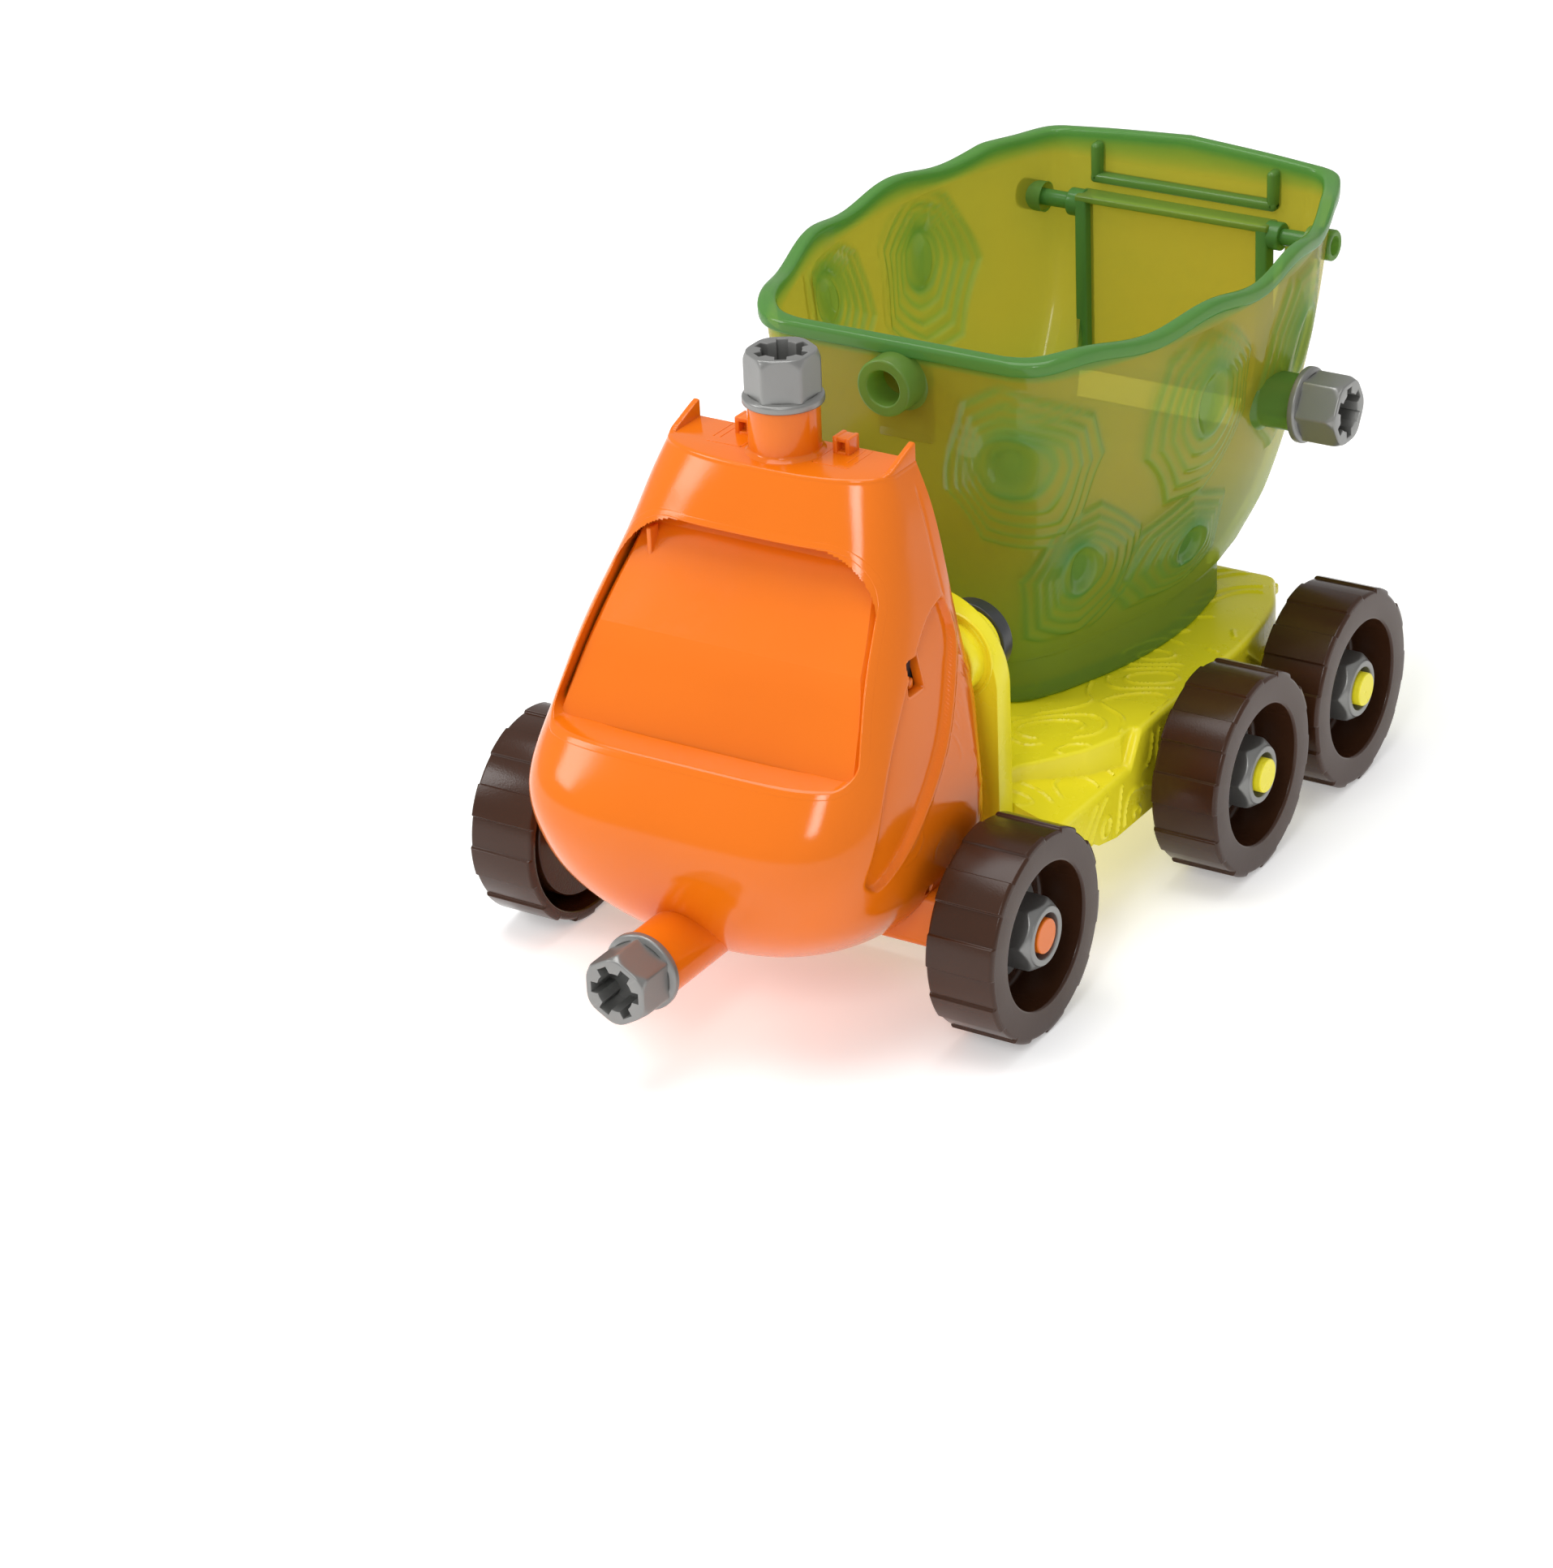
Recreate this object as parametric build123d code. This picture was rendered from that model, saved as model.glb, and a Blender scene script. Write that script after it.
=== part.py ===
"""Take-apart toy tipper truck, modelled in millimetres, +Z up, nose towards -Y.

Lengths along the truck are written from the front axle line and moved at
export so that the origin sits under the middle of the whole toy, on the floor.
"""
import os
from math import asin, cos, degrees, pi, sin

from build123d import *

ORIGIN_SHIFT_Y = -94.5          # front axle line to the middle of the toy

# wheels
WHEEL_R = 35.0
TREAD_STEP = 0.9
TREAD_BLOCKS = 10
WHEEL_W = 24.0
CUP_R = 24.1
CUP_DEPTH = 16.0
HUB_WEB = 6.0
JOURNAL_R = 8.0
STUB_R = 5.8
RUN_GAP = 0.05
AXLE_Z = 35.0
AXLES_Y = (0.0, 130.8, 205.0)
FACE_FRONT_X = 98.0             # outer wheel face, front pair
FACE_REAR_X = 106.8             # outer wheel face, both rear pairs

# hexagon-headed nuts and bolts
HEX_AF = 21.3
NUT_FLANGE_R = 17.5
BOLT_FLANGE_R = 13.0
BOLT_FLANGE_T = 2.5
BOLT_HEAD_L = 14.5
BOLT_SHANK_R = 6.0
BOLT_SHANK_L = 20.0
BOLT_SOCKET_R = 6.4
BOSS_R = 11.5

# cab
CAB_REAR_Y = 24.0
CAB_WIDEST_Y = 12.0
CAB_WALL = 3.0
ROOF_Z = 176.0
ROOF_TUBE_Y = 13.5
ROOF_TUBE_TOP_Z = 192.0
BUMPER_BOLT_Z = 36.5
BUMPER_TUBE_Y = -79.0
CAB_BOLT_X = 44.0
CAB_BOLT_Z = 105.0
# height, half width, nose y, corner exponent, half width at the rear edge
CAB_STATIONS = (
    (19.0, 26.0, -24.0, 2.1, 24.0),
    (24.0, 40.0, -37.0, 2.4, 38.0),
    (32.0, 51.5, -49.0, 2.8, 49.0),
    (44.0, 61.5, -59.0, 3.3, 58.0),
    (60.0, 66.0, -65.0, 4.0, 61.5),
    (78.0, 66.5, -65.0, 4.6, 60.5),
    (96.0, 63.5, -53.0, 4.8, 60.0),
    (123.0, 57.5, -35.0, 4.6, 54.5),
    (150.0, 49.5, -15.0, 3.6, 49.0),
    (165.0, 45.0, -8.0, 2.8, 45.0),
    (176.0, 40.5, -3.0, 2.2, 40.5),
)

# chassis
DECK_Z = 58.0
DECK_HALF_W = 77.0
DECK_WALL = 3.0
SKIRT_Z = 26.0
BULKHEAD_Y = (36.0, 46.0)
BULKHEAD_HALF_W = 61.0
BULKHEAD_TOP_Z = 124.0
REAR_Y = 231.0
PIVOT_Y = 213.0
PIVOT_Z = 52.0
PIVOT_R = 3.0
LUG_X = (34.0, 41.0)

# hopper
TUB_WALL = 2.6
RIM_Z = 188.0
RIM_BEAD = 2.0
RIM_DEPTH = 5.0
GATE_Y = 272.0
GATE_Z = 166.0
GATE_HALF_W = 38.0
GATE_PIN_R = 3.0
GATE_BOSS_R = 5.5
SIDE_BOLT_Y = 200.0
SIDE_BOLT_Z = 138.0
SIDE_BOLT_X = 86.0
NOZZLE_Z = 174.5
NOZZLE_Y = 72.0
NOZZLE_R = 9.75
FOOT_Z = 58.2
FOOT_PLAN = (96.5, 211.0, 32.0, 48.5, 12.5)
# height, front y, rear y, front half width, rear half width, side bulge
TUB_STATIONS = (
    (74.0, 95.8, 224.0, 33.0, 49.0, 13.0),
    (88.0, 93.0, 248.0, 37.0, 49.0, 16.5),
    (105.0, 91.0, 260.0, 41.0, 50.0, 19.0),
    (130.0, 88.0, 273.0, 45.0, 51.5, 22.0),
    (160.0, 84.5, 280.5, 48.5, 53.0, 25.0),
    (188.0, 82.0, 283.0, 50.0, 54.5, 27.0),
    (197.0, 82.0, 283.0, 50.0, 54.5, 27.0),
)


def box(x0, x1, y0, y1, z0, z1):
    centre = Pos((x0 + x1) / 2, (y0 + y1) / 2, (z0 + z1) / 2)
    return centre * Box(abs(x1 - x0), abs(y1 - y0), abs(z1 - z0))


def rod_x(x0, x1, y, z, r):
    return Pos((x0 + x1) / 2, y, z) * Rot(0, 90, 0) * Cylinder(r, abs(x1 - x0))


def rod_y(y0, y1, x, z, r):
    return Pos(x, (y0 + y1) / 2, z) * Rot(90, 0, 0) * Cylinder(r, abs(y1 - y0))


def rod_z(z0, z1, x, y, r):
    return Pos(x, y, (z0 + z1) / 2) * Cylinder(r, abs(z1 - z0))


def prism_x(points, x0, x1):
    """Closed (y, z) outline carried from x0 to x1."""
    wire = Polyline(*[(x0, y, z) for y, z in points], close=True)
    return extrude(make_face(wire), amount=x1 - x0, dir=(1, 0, 0))


def prism_y(points, y0, y1):
    """Closed (x, z) outline carried from y0 to y1."""
    wire = Polyline(*[(x, y0, z) for x, z in points], close=True)
    return extrude(make_face(wire), amount=y1 - y0, dir=(0, 1, 0))


def mirrored(shape):
    return shape + mirror(shape, about=Plane.YZ)


# ---------------------------------------------------------------- fasteners

def socket_cutter(depth):
    """Round drive socket with six square notches, mouth at z = 0, going down."""
    notch_r = 8.6
    notch_w = 3.6
    cutter = Pos(0, 0, -depth / 2) * Cylinder(BOLT_SOCKET_R, depth)
    for i in range(3):
        cutter += Rot(0, 0, 60 * i) * Pos(0, 0, -depth / 2) * Box(2 * notch_r, notch_w, depth)
    return cutter


def hex_prism(af, height, chamfer_r):
    """Hexagon standing on z = 0 with its upper corners turned off."""
    body = extrude(RegularPolygon(af / 2, 6, major_radius=False), amount=height)
    cone_h = height + 4.0
    slope = 0.55
    cone = Pos(0, 0, height - cone_h / 2) * Cone(chamfer_r + slope * cone_h, chamfer_r, cone_h)
    return body & cone


def make_bolt():
    """Large toy bolt: flange underside on z = 0, head up, shank down."""
    head = hex_prism(HEX_AF, BOLT_FLANGE_T + BOLT_HEAD_L, 11.0)
    head += extrude(Circle(BOLT_FLANGE_R), amount=BOLT_FLANGE_T)
    top = BOLT_FLANGE_T + BOLT_HEAD_L
    head -= Pos(0, 0, top) * socket_cutter(10.0)
    shank_r = BOLT_SHANK_R - RUN_GAP
    shank = Pos(0, 0, -BOLT_SHANK_L / 2) * Cylinder(shank_r, BOLT_SHANK_L)
    groove = Pos(0, 0, -BOLT_SHANK_L + 6.0) * (Cylinder(shank_r + 1, 1.6) - Cylinder(shank_r - 1.0, 1.6))
    return head + shank - groove


def make_cab_screw():
    """Flat-headed screw that holds the cab to the bulkhead: head underside on z = 0."""
    head_t = 6.0
    head = Pos(0, 0, head_t / 2) * Cylinder(BOLT_FLANGE_R, head_t)
    head = fillet(head.edges().sort_by(Axis.Z)[-1], 1.2)
    head -= Pos(0, 0, head_t) * socket_cutter(4.0)
    shank = Pos(0, 0, -BOLT_SHANK_L / 2) * Cylinder(BOLT_SHANK_R - RUN_GAP, BOLT_SHANK_L)
    return head + shank


def make_nut():
    """Wheel nut: flange underside on z = 0, hexagon and open face upwards."""
    length = CUP_DEPTH - RUN_GAP
    flange_t = 2.0
    body = hex_prism(HEX_AF, length, 11.0) + extrude(Circle(NUT_FLANGE_R), amount=flange_t)
    body -= Pos(0, 0, length / 2) * Cylinder(STUB_R + RUN_GAP, length + 1)
    counterbore = 6.0
    body -= Pos(0, 0, length - counterbore / 2) * Cylinder(8.0, counterbore)
    return body


# ---------------------------------------------------------------- wheels

def make_wheel():
    """Wheel with its outer face on z = 0 and the rest of it below."""
    low = WHEEL_R - TREAD_STEP
    ring_in = 31.0
    drum_r = 26.2
    drum_z = -CUP_DEPTH - HUB_WEB
    outline = (
        (CUP_R, 0), (low - 1.2, 0), (low, -1.2), (low, -WHEEL_W + 1.2), (low - 1.2, -WHEEL_W),
        (ring_in, -WHEEL_W), (ring_in, -3.0), (drum_r, -3.0), (drum_r, drum_z),
        (JOURNAL_R + RUN_GAP, drum_z), (JOURNAL_R + RUN_GAP, -CUP_DEPTH), (CUP_R, -CUP_DEPTH),
    )
    profile = make_face(Polyline(*[(r, 0, z) for r, z in outline], close=True))
    wheel = revolve(profile, axis=Axis.Z)
    pad = (
        (low - 2.0, 0), (low - 0.2, 0), (WHEEL_R, -1.0),
        (WHEEL_R, -WHEEL_W + 1.0), (low - 0.2, -WHEEL_W), (low - 2.0, -WHEEL_W),
    )
    pad_arc = 360.0 / TREAD_BLOCKS / 2
    pad_face = make_face(Polyline(*[(r, 0, z) for r, z in pad], close=True))
    block = revolve(pad_face, axis=Axis.Z, revolution_arc=pad_arc)
    for i in range(TREAD_BLOCKS):
        wheel += Rot(0, 0, i * 2 * pad_arc) * block
    return wheel


def on_axle(shape, face_x, y, side):
    """Turn a part whose axis is +Z so that it points outwards on one side."""
    return Pos(side * face_x, y, AXLE_Z) * Rot(0, side * 90, 0) * shape


# ---------------------------------------------------------------- cab

def cab_face(z, half_w, nose_y, exponent, rear_w, inset, rear_y):
    """Horizontal cab section: super-ellipse nose, straight rear edge."""
    half_w = half_w - inset
    depth = CAB_WIDEST_Y - nose_y - inset
    steps = 16
    points = [(rear_w - inset, rear_y, z)]
    for i in range(steps + 1):
        c = cos(pi * i / steps)
        s = sin(pi * i / steps)
        reach = (abs(c / half_w) ** exponent + abs(s / depth) ** exponent) ** (-1 / exponent)
        points.append((reach * c, CAB_WIDEST_Y - reach * s, z))
    points.append((inset - rear_w, rear_y, z))
    return make_face([Spline(*points), Line(points[-1], points[0])])


def cab_solid(inset, z_low, z_high, rear_y):
    """Cab volume, drawn in by a wall thickness between two heights."""
    first = CAB_STATIONS[0][0]
    scale = (z_high - z_low) / (ROOF_Z - first)
    faces = []
    for z, half_w, nose_y, exponent, rear_w in CAB_STATIONS:
        height = z_low + (z - first) * scale
        faces.append(cab_face(height, half_w, nose_y, exponent, rear_w, inset, rear_y))
    return loft(faces)


def window_face(grow, y):
    """Rounded trapezoid windscreen outline."""
    low_w, low_z, low_r = 56.5 + grow, 95.8 - grow, 5.0
    top_w, top_z, top_r = 44.3 + grow, 156.0 + grow, 20.0
    plane = Plane(origin=(0, y, 0), x_dir=(1, 0, 0), z_dir=(0, -1, 0))
    trapezoid = ((-low_w, low_z), (low_w, low_z), (top_w, top_z), (-top_w, top_z))
    outline = plane * Polygon(*trapezoid, align=None)
    outline = fillet(outline.vertices().sort_by(Axis.Z)[:2], low_r)
    return fillet(outline.vertices().sort_by(Axis.Z)[-2:], top_r)


def crescent(x0, x1):
    """Sickle-shaped side recess, seen from the side."""
    rear = ((16.0, 136.0), (17.5, 120.0), (2.0, 97.0), (-22.0, 77.0), (-43.0, 60.0))
    front = ((-43.0, 60.0), (-44.0, 74.0), (-34.0, 92.0), (-14.0, 116.0), (16.0, 136.0))
    edges = [Spline(*[(x0, y, z) for y, z in curve]) for curve in (rear, front)]
    return extrude(make_face(edges), amount=x1 - x0, dir=(1, 0, 0))


def make_cab_shell(outer, inner):
    shell = outer - inner
    frame_depth = 5.0
    frame = extrude(window_face(2.4, -90), amount=100, dir=(0, 1, 0)) & outer
    frame -= Pos(0, frame_depth, 0) * outer
    shell += frame
    shell -= extrude(window_face(0, -90), amount=88, dir=(0, 1, 0))
    recess = 1.4
    for side in (1, -1):
        sickle = crescent(40, 80)
        slot = box(48, 80, -12, -3, 114, 124)
        notch = box(58, 80, -16, -10, 46.5, 51)
        if side < 0:
            sickle, slot, notch = [mirror(s, about=Plane.YZ) for s in (sickle, slot, notch)]
        shell -= sickle - Pos(-side * recess, 0, 0) * outer
        shell -= slot
        shell -= notch
    fin = ((2, 174), (12, 176.6), (20, 180.0), (24, 181.6), (24, 172), (2, 172))
    ear = box(15, 21, 17, 23.5, 175, 181.5) - box(16.5, 19.5, 16, 20, 176.5, 180)
    shell += mirrored(prism_x(fin, 37.6, 40.2) + ear)
    shell += rod_z(172, ROOF_TUBE_TOP_Z, 0, ROOF_TUBE_Y, BOSS_R)
    shell -= rod_z(168, ROOF_TUBE_TOP_Z + 1, 0, ROOF_TUBE_Y, BOLT_SHANK_R)
    tube = rod_y(BUMPER_TUBE_Y, -30, 0, BUMPER_BOLT_Z, BOSS_R)
    shell += tube
    shell -= rod_y(BUMPER_TUBE_Y - 1, -29, 0, BUMPER_BOLT_Z, BOLT_SHANK_R)
    beam_gap = 0.2
    shell -= box(-80, 80, -13 - beam_gap, 13 + beam_gap, 27 - beam_gap, 47 + beam_gap)
    return shell


def make_cab_liner(inner):
    """Curved panel behind the windscreen."""
    front = (
        (5.0, 172.0), (2.0, 160.0), (-3.0, 150.0), (-13.0, 137.0),
        (-24.0, 123.0), (-31.5, 110.0), (-40.0, 96.0), (-46.0, 84.0),
    )
    back = tuple((y + 2.5, z) for y, z in reversed(front))
    return prism_x(front + back, -70, 70) & inner


def make_cab_back(inner):
    """Rear wall of the cab with the two pillars that meet the bulkhead."""
    wall = box(-80, 80, 20.5, CAB_REAR_Y, 28, 171) & inner
    pillar = rod_y(20.5, BULKHEAD_Y[0], CAB_BOLT_X, CAB_BOLT_Z, 9.0)
    wall += mirrored(pillar)
    wall -= mirrored(rod_y(19, BULKHEAD_Y[0] + 1, CAB_BOLT_X, CAB_BOLT_Z, BOLT_SHANK_R))
    wall -= box(-80, 80, 10, 30, 26, 47.2)
    return wall


def make_front_axle():
    """Cross beam with a journal and a nut stub at each end."""
    shoulder = FACE_FRONT_X - CUP_DEPTH - HUB_WEB - RUN_GAP
    beam = box(-66, 66, -13, 13, 27, 47)
    beam = fillet(beam.edges().filter_by(Axis.X), 3.0)
    beam += mirrored(rod_x(64, shoulder, 0, AXLE_Z, 11.0))
    journal = FACE_FRONT_X - CUP_DEPTH
    beam += rod_x(-journal, journal, 0, AXLE_Z, JOURNAL_R)
    beam += rod_x(-FACE_FRONT_X, FACE_FRONT_X, 0, AXLE_Z, STUB_R)
    return beam


# ---------------------------------------------------------------- chassis

def deck_plan(z, inset, front_y, rear_y):
    """Deck outline: straight sides drawn in towards the tail."""
    w = DECK_HALF_W - inset
    bend = ((w, 170, z), (w - 4.5, 205, z), (w - 15.0, rear_y - 3, z))
    right = Spline(*bend, tangents=((0, 1, 0), (-0.8, 0.7, 0)))
    tail = w - 21.0
    edges = [
        Line((-w, front_y, z), (w, front_y, z)),
        Line((w, front_y, z), (w, 170, z)),
        right,
        Line((w - 15.0, rear_y - 3, z), (tail, rear_y, z)),
        Line((tail, rear_y, z), (-tail, rear_y, z)),
        Line((-tail, rear_y, z), (15.0 - w, rear_y - 3, z)),
        mirror(right, about=Plane.YZ),
        Line((-w, 170, z), (-w, front_y, z)),
    ]
    return make_face(edges)


def make_deck():
    front = BULKHEAD_Y[1] - 2
    deck = extrude(deck_plan(SKIRT_Z, 0, front, REAR_Y), amount=DECK_Z - SKIRT_Z, dir=(0, 0, 1))
    deck = fillet(deck.faces().sort_by(Axis.Z)[-1].edges(), 3.0)
    wing_slope = degrees(asin(7.0 / 25.0))
    step_line = (
        (50.0, 40.0), (50.5, 49.0), (55.0, 60.0), (61.5, 69.0),
        (68.5, 80.0), (74.5, 96.0), (78.0, 108.0),
    )
    wedge_wire = Polyline(*[(x, y, 40) for x, y in step_line], (90, 108, 40), (90, 40, 40), close=True)
    wedge = extrude(make_face(wedge_wire), amount=30, dir=(0, 0, 1))
    above_wing = Pos(51, 75, 54) * Rot(0, wing_slope, 0) * Pos(0, 0, 20) * Box(120, 80, 40)
    wing_cut = wedge & above_wing
    deck -= wing_cut
    deck -= mirror(wing_cut, about=Plane.YZ)
    deck -= extrude(deck_plan(SKIRT_Z - 1, DECK_WALL, front + 3, REAR_Y - 3), amount=18, dir=(0, 0, 1))
    deck -= box(-46, 46, 56, 222, SKIRT_Z - 1, DECK_Z - DECK_WALL)
    skirt_front = (
        (30, 20), (30, 44), (50, 43.5), (56, 40), (63, 34), (72, 28.5), (84, SKIRT_Z), (84, 20),
    )
    deck -= prism_x(skirt_front, -90, 90)
    plate = box(-BULKHEAD_HALF_W, BULKHEAD_HALF_W, *BULKHEAD_Y, 30, BULKHEAD_TOP_Z)
    plate = fillet(plate.edges().filter_by(Axis.Y).sort_by(Axis.Z)[-2:], 29.0)
    plate = fillet(plate.faces().sort_by(Axis.Y)[-1].edges().filter_by(lambda e: e.center().Z > 40), 2.5)
    deck += plate
    deck += mirrored(rod_y(BULKHEAD_Y[0], BULKHEAD_Y[1] + 2, CAB_BOLT_X, CAB_BOLT_Z, 12.0))
    deck -= mirrored(rod_y(30, 60, CAB_BOLT_X, CAB_BOLT_Z, BOLT_SHANK_R))
    for y in AXLES_Y[1:]:
        deck -= rod_x(-90, 90, y, AXLE_Z, JOURNAL_R + 0.3)
    for x in (40.0, -40.0):
        for y in (75.0, 178.0):
            post = rod_z(SKIRT_Z + 0.1, DECK_Z - 2, x, y, 5.0)
            deck += post - rod_z(SKIRT_Z - 1, 46, x, y, 2.0)
    bearing = box(24, 48, PIVOT_Y - 6, PIVOT_Y + 6, PIVOT_Z - 6, DECK_Z - 2)
    deck += mirrored(bearing)
    slot_x = (LUG_X[0] - 0.5, LUG_X[1] + 0.5)
    deck -= mirrored(box(*slot_x, PIVOT_Y - 14, PIVOT_Y + 7, PIVOT_Z - 7, DECK_Z + 1))
    deck -= rod_x(-48, 48, PIVOT_Y, PIVOT_Z, PIVOT_R)
    deck += box(-60, 60, REAR_Y - 2, REAR_Y + 4, 49, 53)
    return deck


def make_underframe():
    """Floor tray with the blocks that carry both rear axles."""
    tray = extrude(deck_plan(SKIRT_Z - 3, DECK_WALL + 0.5, 86, REAR_Y - 4), amount=3, dir=(0, 0, 1))
    tray += box(-70, 70, 66, 88, SKIRT_Z - 3, SKIRT_Z)
    for y in AXLES_Y[1:]:
        block = box(50, 61, y - 12, y + 12, SKIRT_Z - 1, 42.8)
        tray += mirrored(block)
        tray -= rod_x(-90, 90, y, AXLE_Z, JOURNAL_R)
    for x in (40.0, -40.0):
        for y in (75.0, 178.0):
            tray -= rod_z(20, 30, x, y, 2.0)
    return tray


def make_rear_axle(y):
    journal = FACE_REAR_X - CUP_DEPTH
    tip = FACE_REAR_X + 1.7
    collar_out = FACE_REAR_X - CUP_DEPTH - HUB_WEB - RUN_GAP
    axle = rod_x(-journal, journal, y, AXLE_Z, JOURNAL_R)
    axle += rod_x(-tip, tip, y, AXLE_Z, STUB_R)
    axle += mirrored(rod_x(DECK_HALF_W + 0.4, collar_out, y, AXLE_Z, 11.0))
    return axle


def make_underframe_screws():
    screw = rod_z(SKIRT_Z - 3, SKIRT_Z + 12, 0, 0, 2.0) + rod_z(SKIRT_Z - 5.2, SKIRT_Z - 3, 0, 0, 3.6)
    screw -= box(-2.6, 2.6, -0.5, 0.5, SKIRT_Z - 6, SKIRT_Z - 4.2)
    screw -= box(-0.5, 0.5, -2.6, 2.6, SKIRT_Z - 6, SKIRT_Z - 4.2)
    return Compound([Pos(x, y, 0) * screw for x in (40.0, -40.0) for y in (75.0, 178.0)])


# ---------------------------------------------------------------- hopper

def tub_face(z, front_y, rear_y, front_w, rear_w, bulge, inset):
    """Barrel-shaped plan section with flat front and rear edges."""
    front_y += inset
    rear_y -= inset
    corner = 5.0
    points = [
        (front_w - inset - corner, front_y, z),
        (front_w - inset - 0.8, front_y + 0.9, z),
    ]
    for s in (0.03, 0.1, 0.22, 0.36, 0.5, 0.64, 0.78, 0.89, 0.96):
        w = front_w + (rear_w - front_w) * s + bulge * sin(pi * s) ** 0.8 - inset
        points.append((w, front_y + (rear_y - front_y) * s, z))
    points.append((rear_w - inset - 0.4, rear_y - 1.2, z))
    points.append((rear_w - inset - corner, rear_y, z))
    side = Spline(*points)
    edges = [
        side,
        Line((points[-1][0], rear_y, z), (-points[-1][0], rear_y, z)),
        mirror(side, about=Plane.YZ),
        Line((-points[0][0], front_y, z), (points[0][0], front_y, z)),
    ]
    return make_face(edges)


def tub_solid(inset, floor_z, foot_floor_z):
    """Flared body on an upright foot; the insets and floors also give the cavity."""
    first, last = TUB_STATIONS[0][0], TUB_STATIONS[-1][0]
    faces = []
    for z, *plan in TUB_STATIONS:
        height = last - (last - z) * (last - floor_z) / (last - first)
        faces.append(tub_face(height, *plan, inset))
    overlap = 4.0
    foot_h = floor_z + overlap - foot_floor_z
    foot = extrude(tub_face(foot_floor_z, *FOOT_PLAN, inset), amount=foot_h, dir=(0, 0, 1))
    return loft(faces) + foot


def rim_trim():
    """Everything above the wavy rim line."""
    wave = 1.6
    pitch = 56.0
    crest = [(y, RIM_Z + wave * sin(2 * pi * (y - 82) / pitch)) for y in range(60, 262, 14)]
    crest += [(268, RIM_Z + 1), (280, RIM_Z + 4.6), (300, RIM_Z + 5)]
    top = RIM_Z + 20
    curve = Spline(*[(-100, y, z) for y, z in crest])
    ends = ((-100, 300, crest[-1][1]), (-100, 300, top), (-100, 60, top), (-100, 60, crest[0][1]))
    close_up = Polyline(*ends)
    above = extrude(make_face([curve, close_up]), amount=200, dir=(1, 0, 0))
    arch = [(x, 262, RIM_Z + rise) for x, rise in ((-70, -1), (-30, 3), (0, 5), (30, 3), (70, -1))]
    back = Spline(*arch)
    back_up = Polyline(arch[-1], (70, 262, top), (-70, 262, top), arch[0])
    return above + extrude(make_face([back, back_up]), amount=40, dir=(0, 1, 0))


def make_tub():
    floor_t = 4.0
    shelf_t = 3.0
    shelf_z = TUB_STATIONS[0][0]
    skin = tub_solid(0, shelf_z, FOOT_Z)
    cavity = tub_solid(TUB_WALL, shelf_z + shelf_t, FOOT_Z + floor_t)
    top_plan = TUB_STATIONS[-1][1:]
    bead_face = tub_face(RIM_Z - RIM_DEPTH, *top_plan, -RIM_BEAD)
    bead = extrude(bead_face, amount=RIM_DEPTH + 8, dir=(0, 0, 1))
    tub = skin + bead - rim_trim() - cavity
    nozzle_end = TUB_STATIONS[-1][1] + TUB_WALL
    tub += rod_y(NOZZLE_Y, nozzle_end, 0, NOZZLE_Z, NOZZLE_R)
    pad = box(-10, 10, 82.4, 88, 152, 175) & skin
    tub += pad
    tub -= rod_y(NOZZLE_Y - 1, nozzle_end + 4, 0, NOZZLE_Z, BOLT_SHANK_R)
    tub += rod_x(66, SIDE_BOLT_X, SIDE_BOLT_Y, SIDE_BOLT_Z, NOZZLE_R)
    tub -= rod_x(60, SIDE_BOLT_X + 1, SIDE_BOLT_Y, SIDE_BOLT_Z, BOLT_SHANK_R)
    opening = box(-GATE_HALF_W - 2, GATE_HALF_W + 2, 236, 300, 99, 172.5)
    tub -= opening
    tub += mirrored(box(33, 36.5, 276, 283, 172.5, 187))
    tub += box(-36.5, 36.5, 276, 281.5, 172.5, 176)
    tub += mirrored(rod_x(52, 62, GATE_Y, GATE_Z, GATE_BOSS_R))
    tub -= rod_x(-80, 80, GATE_Y, GATE_Z, GATE_PIN_R + RUN_GAP)
    lug_side = (
        (PIVOT_Y - 14, 62), (PIVOT_Y - 2, 62), (PIVOT_Y + 4, PIVOT_Z + 3),
        (PIVOT_Y, PIVOT_Z), (PIVOT_Y - 5, PIVOT_Z),
    )
    lug = prism_x(lug_side, *LUG_X) + rod_x(*LUG_X, PIVOT_Y, PIVOT_Z, 5.4)
    tub += mirrored(lug)
    tub -= rod_x(-50, 50, PIVOT_Y, PIVOT_Z, PIVOT_R + RUN_GAP)
    return tub.solids().sort_by(SortBy.VOLUME)[-1]


def make_tailgate():
    """Flap hung from its two trunnions, ribbed down both edges."""
    low_z = 104.0
    flange_z = GATE_Z + 2.0
    gate = box(-GATE_HALF_W, GATE_HALF_W, GATE_Y - 1.2, GATE_Y + 1.2, low_z, flange_z + 1)
    gate += box(-GATE_HALF_W, GATE_HALF_W, GATE_Y - 5, GATE_Y + 4, flange_z, flange_z + 2.5)
    gate += mirrored(box(GATE_HALF_W - 4.5, GATE_HALF_W, GATE_Y - 5, GATE_Y + 1.2, low_z, flange_z + 1))
    gate += box(-GATE_HALF_W, GATE_HALF_W, GATE_Y - 3.5, GATE_Y + 1.2, low_z, low_z + 3)
    gate += mirrored(rod_x(GATE_HALF_W - 2, GATE_HALF_W + 4, GATE_Y, GATE_Z, 5.0))
    gate += mirrored(rod_x(GATE_HALF_W, 58, GATE_Y, GATE_Z, GATE_PIN_R))
    return gate


def make_pivot_pin():
    return rod_x(-48, 48, PIVOT_Y, PIVOT_Z, PIVOT_R)


# ---------------------------------------------------------------- output

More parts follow.
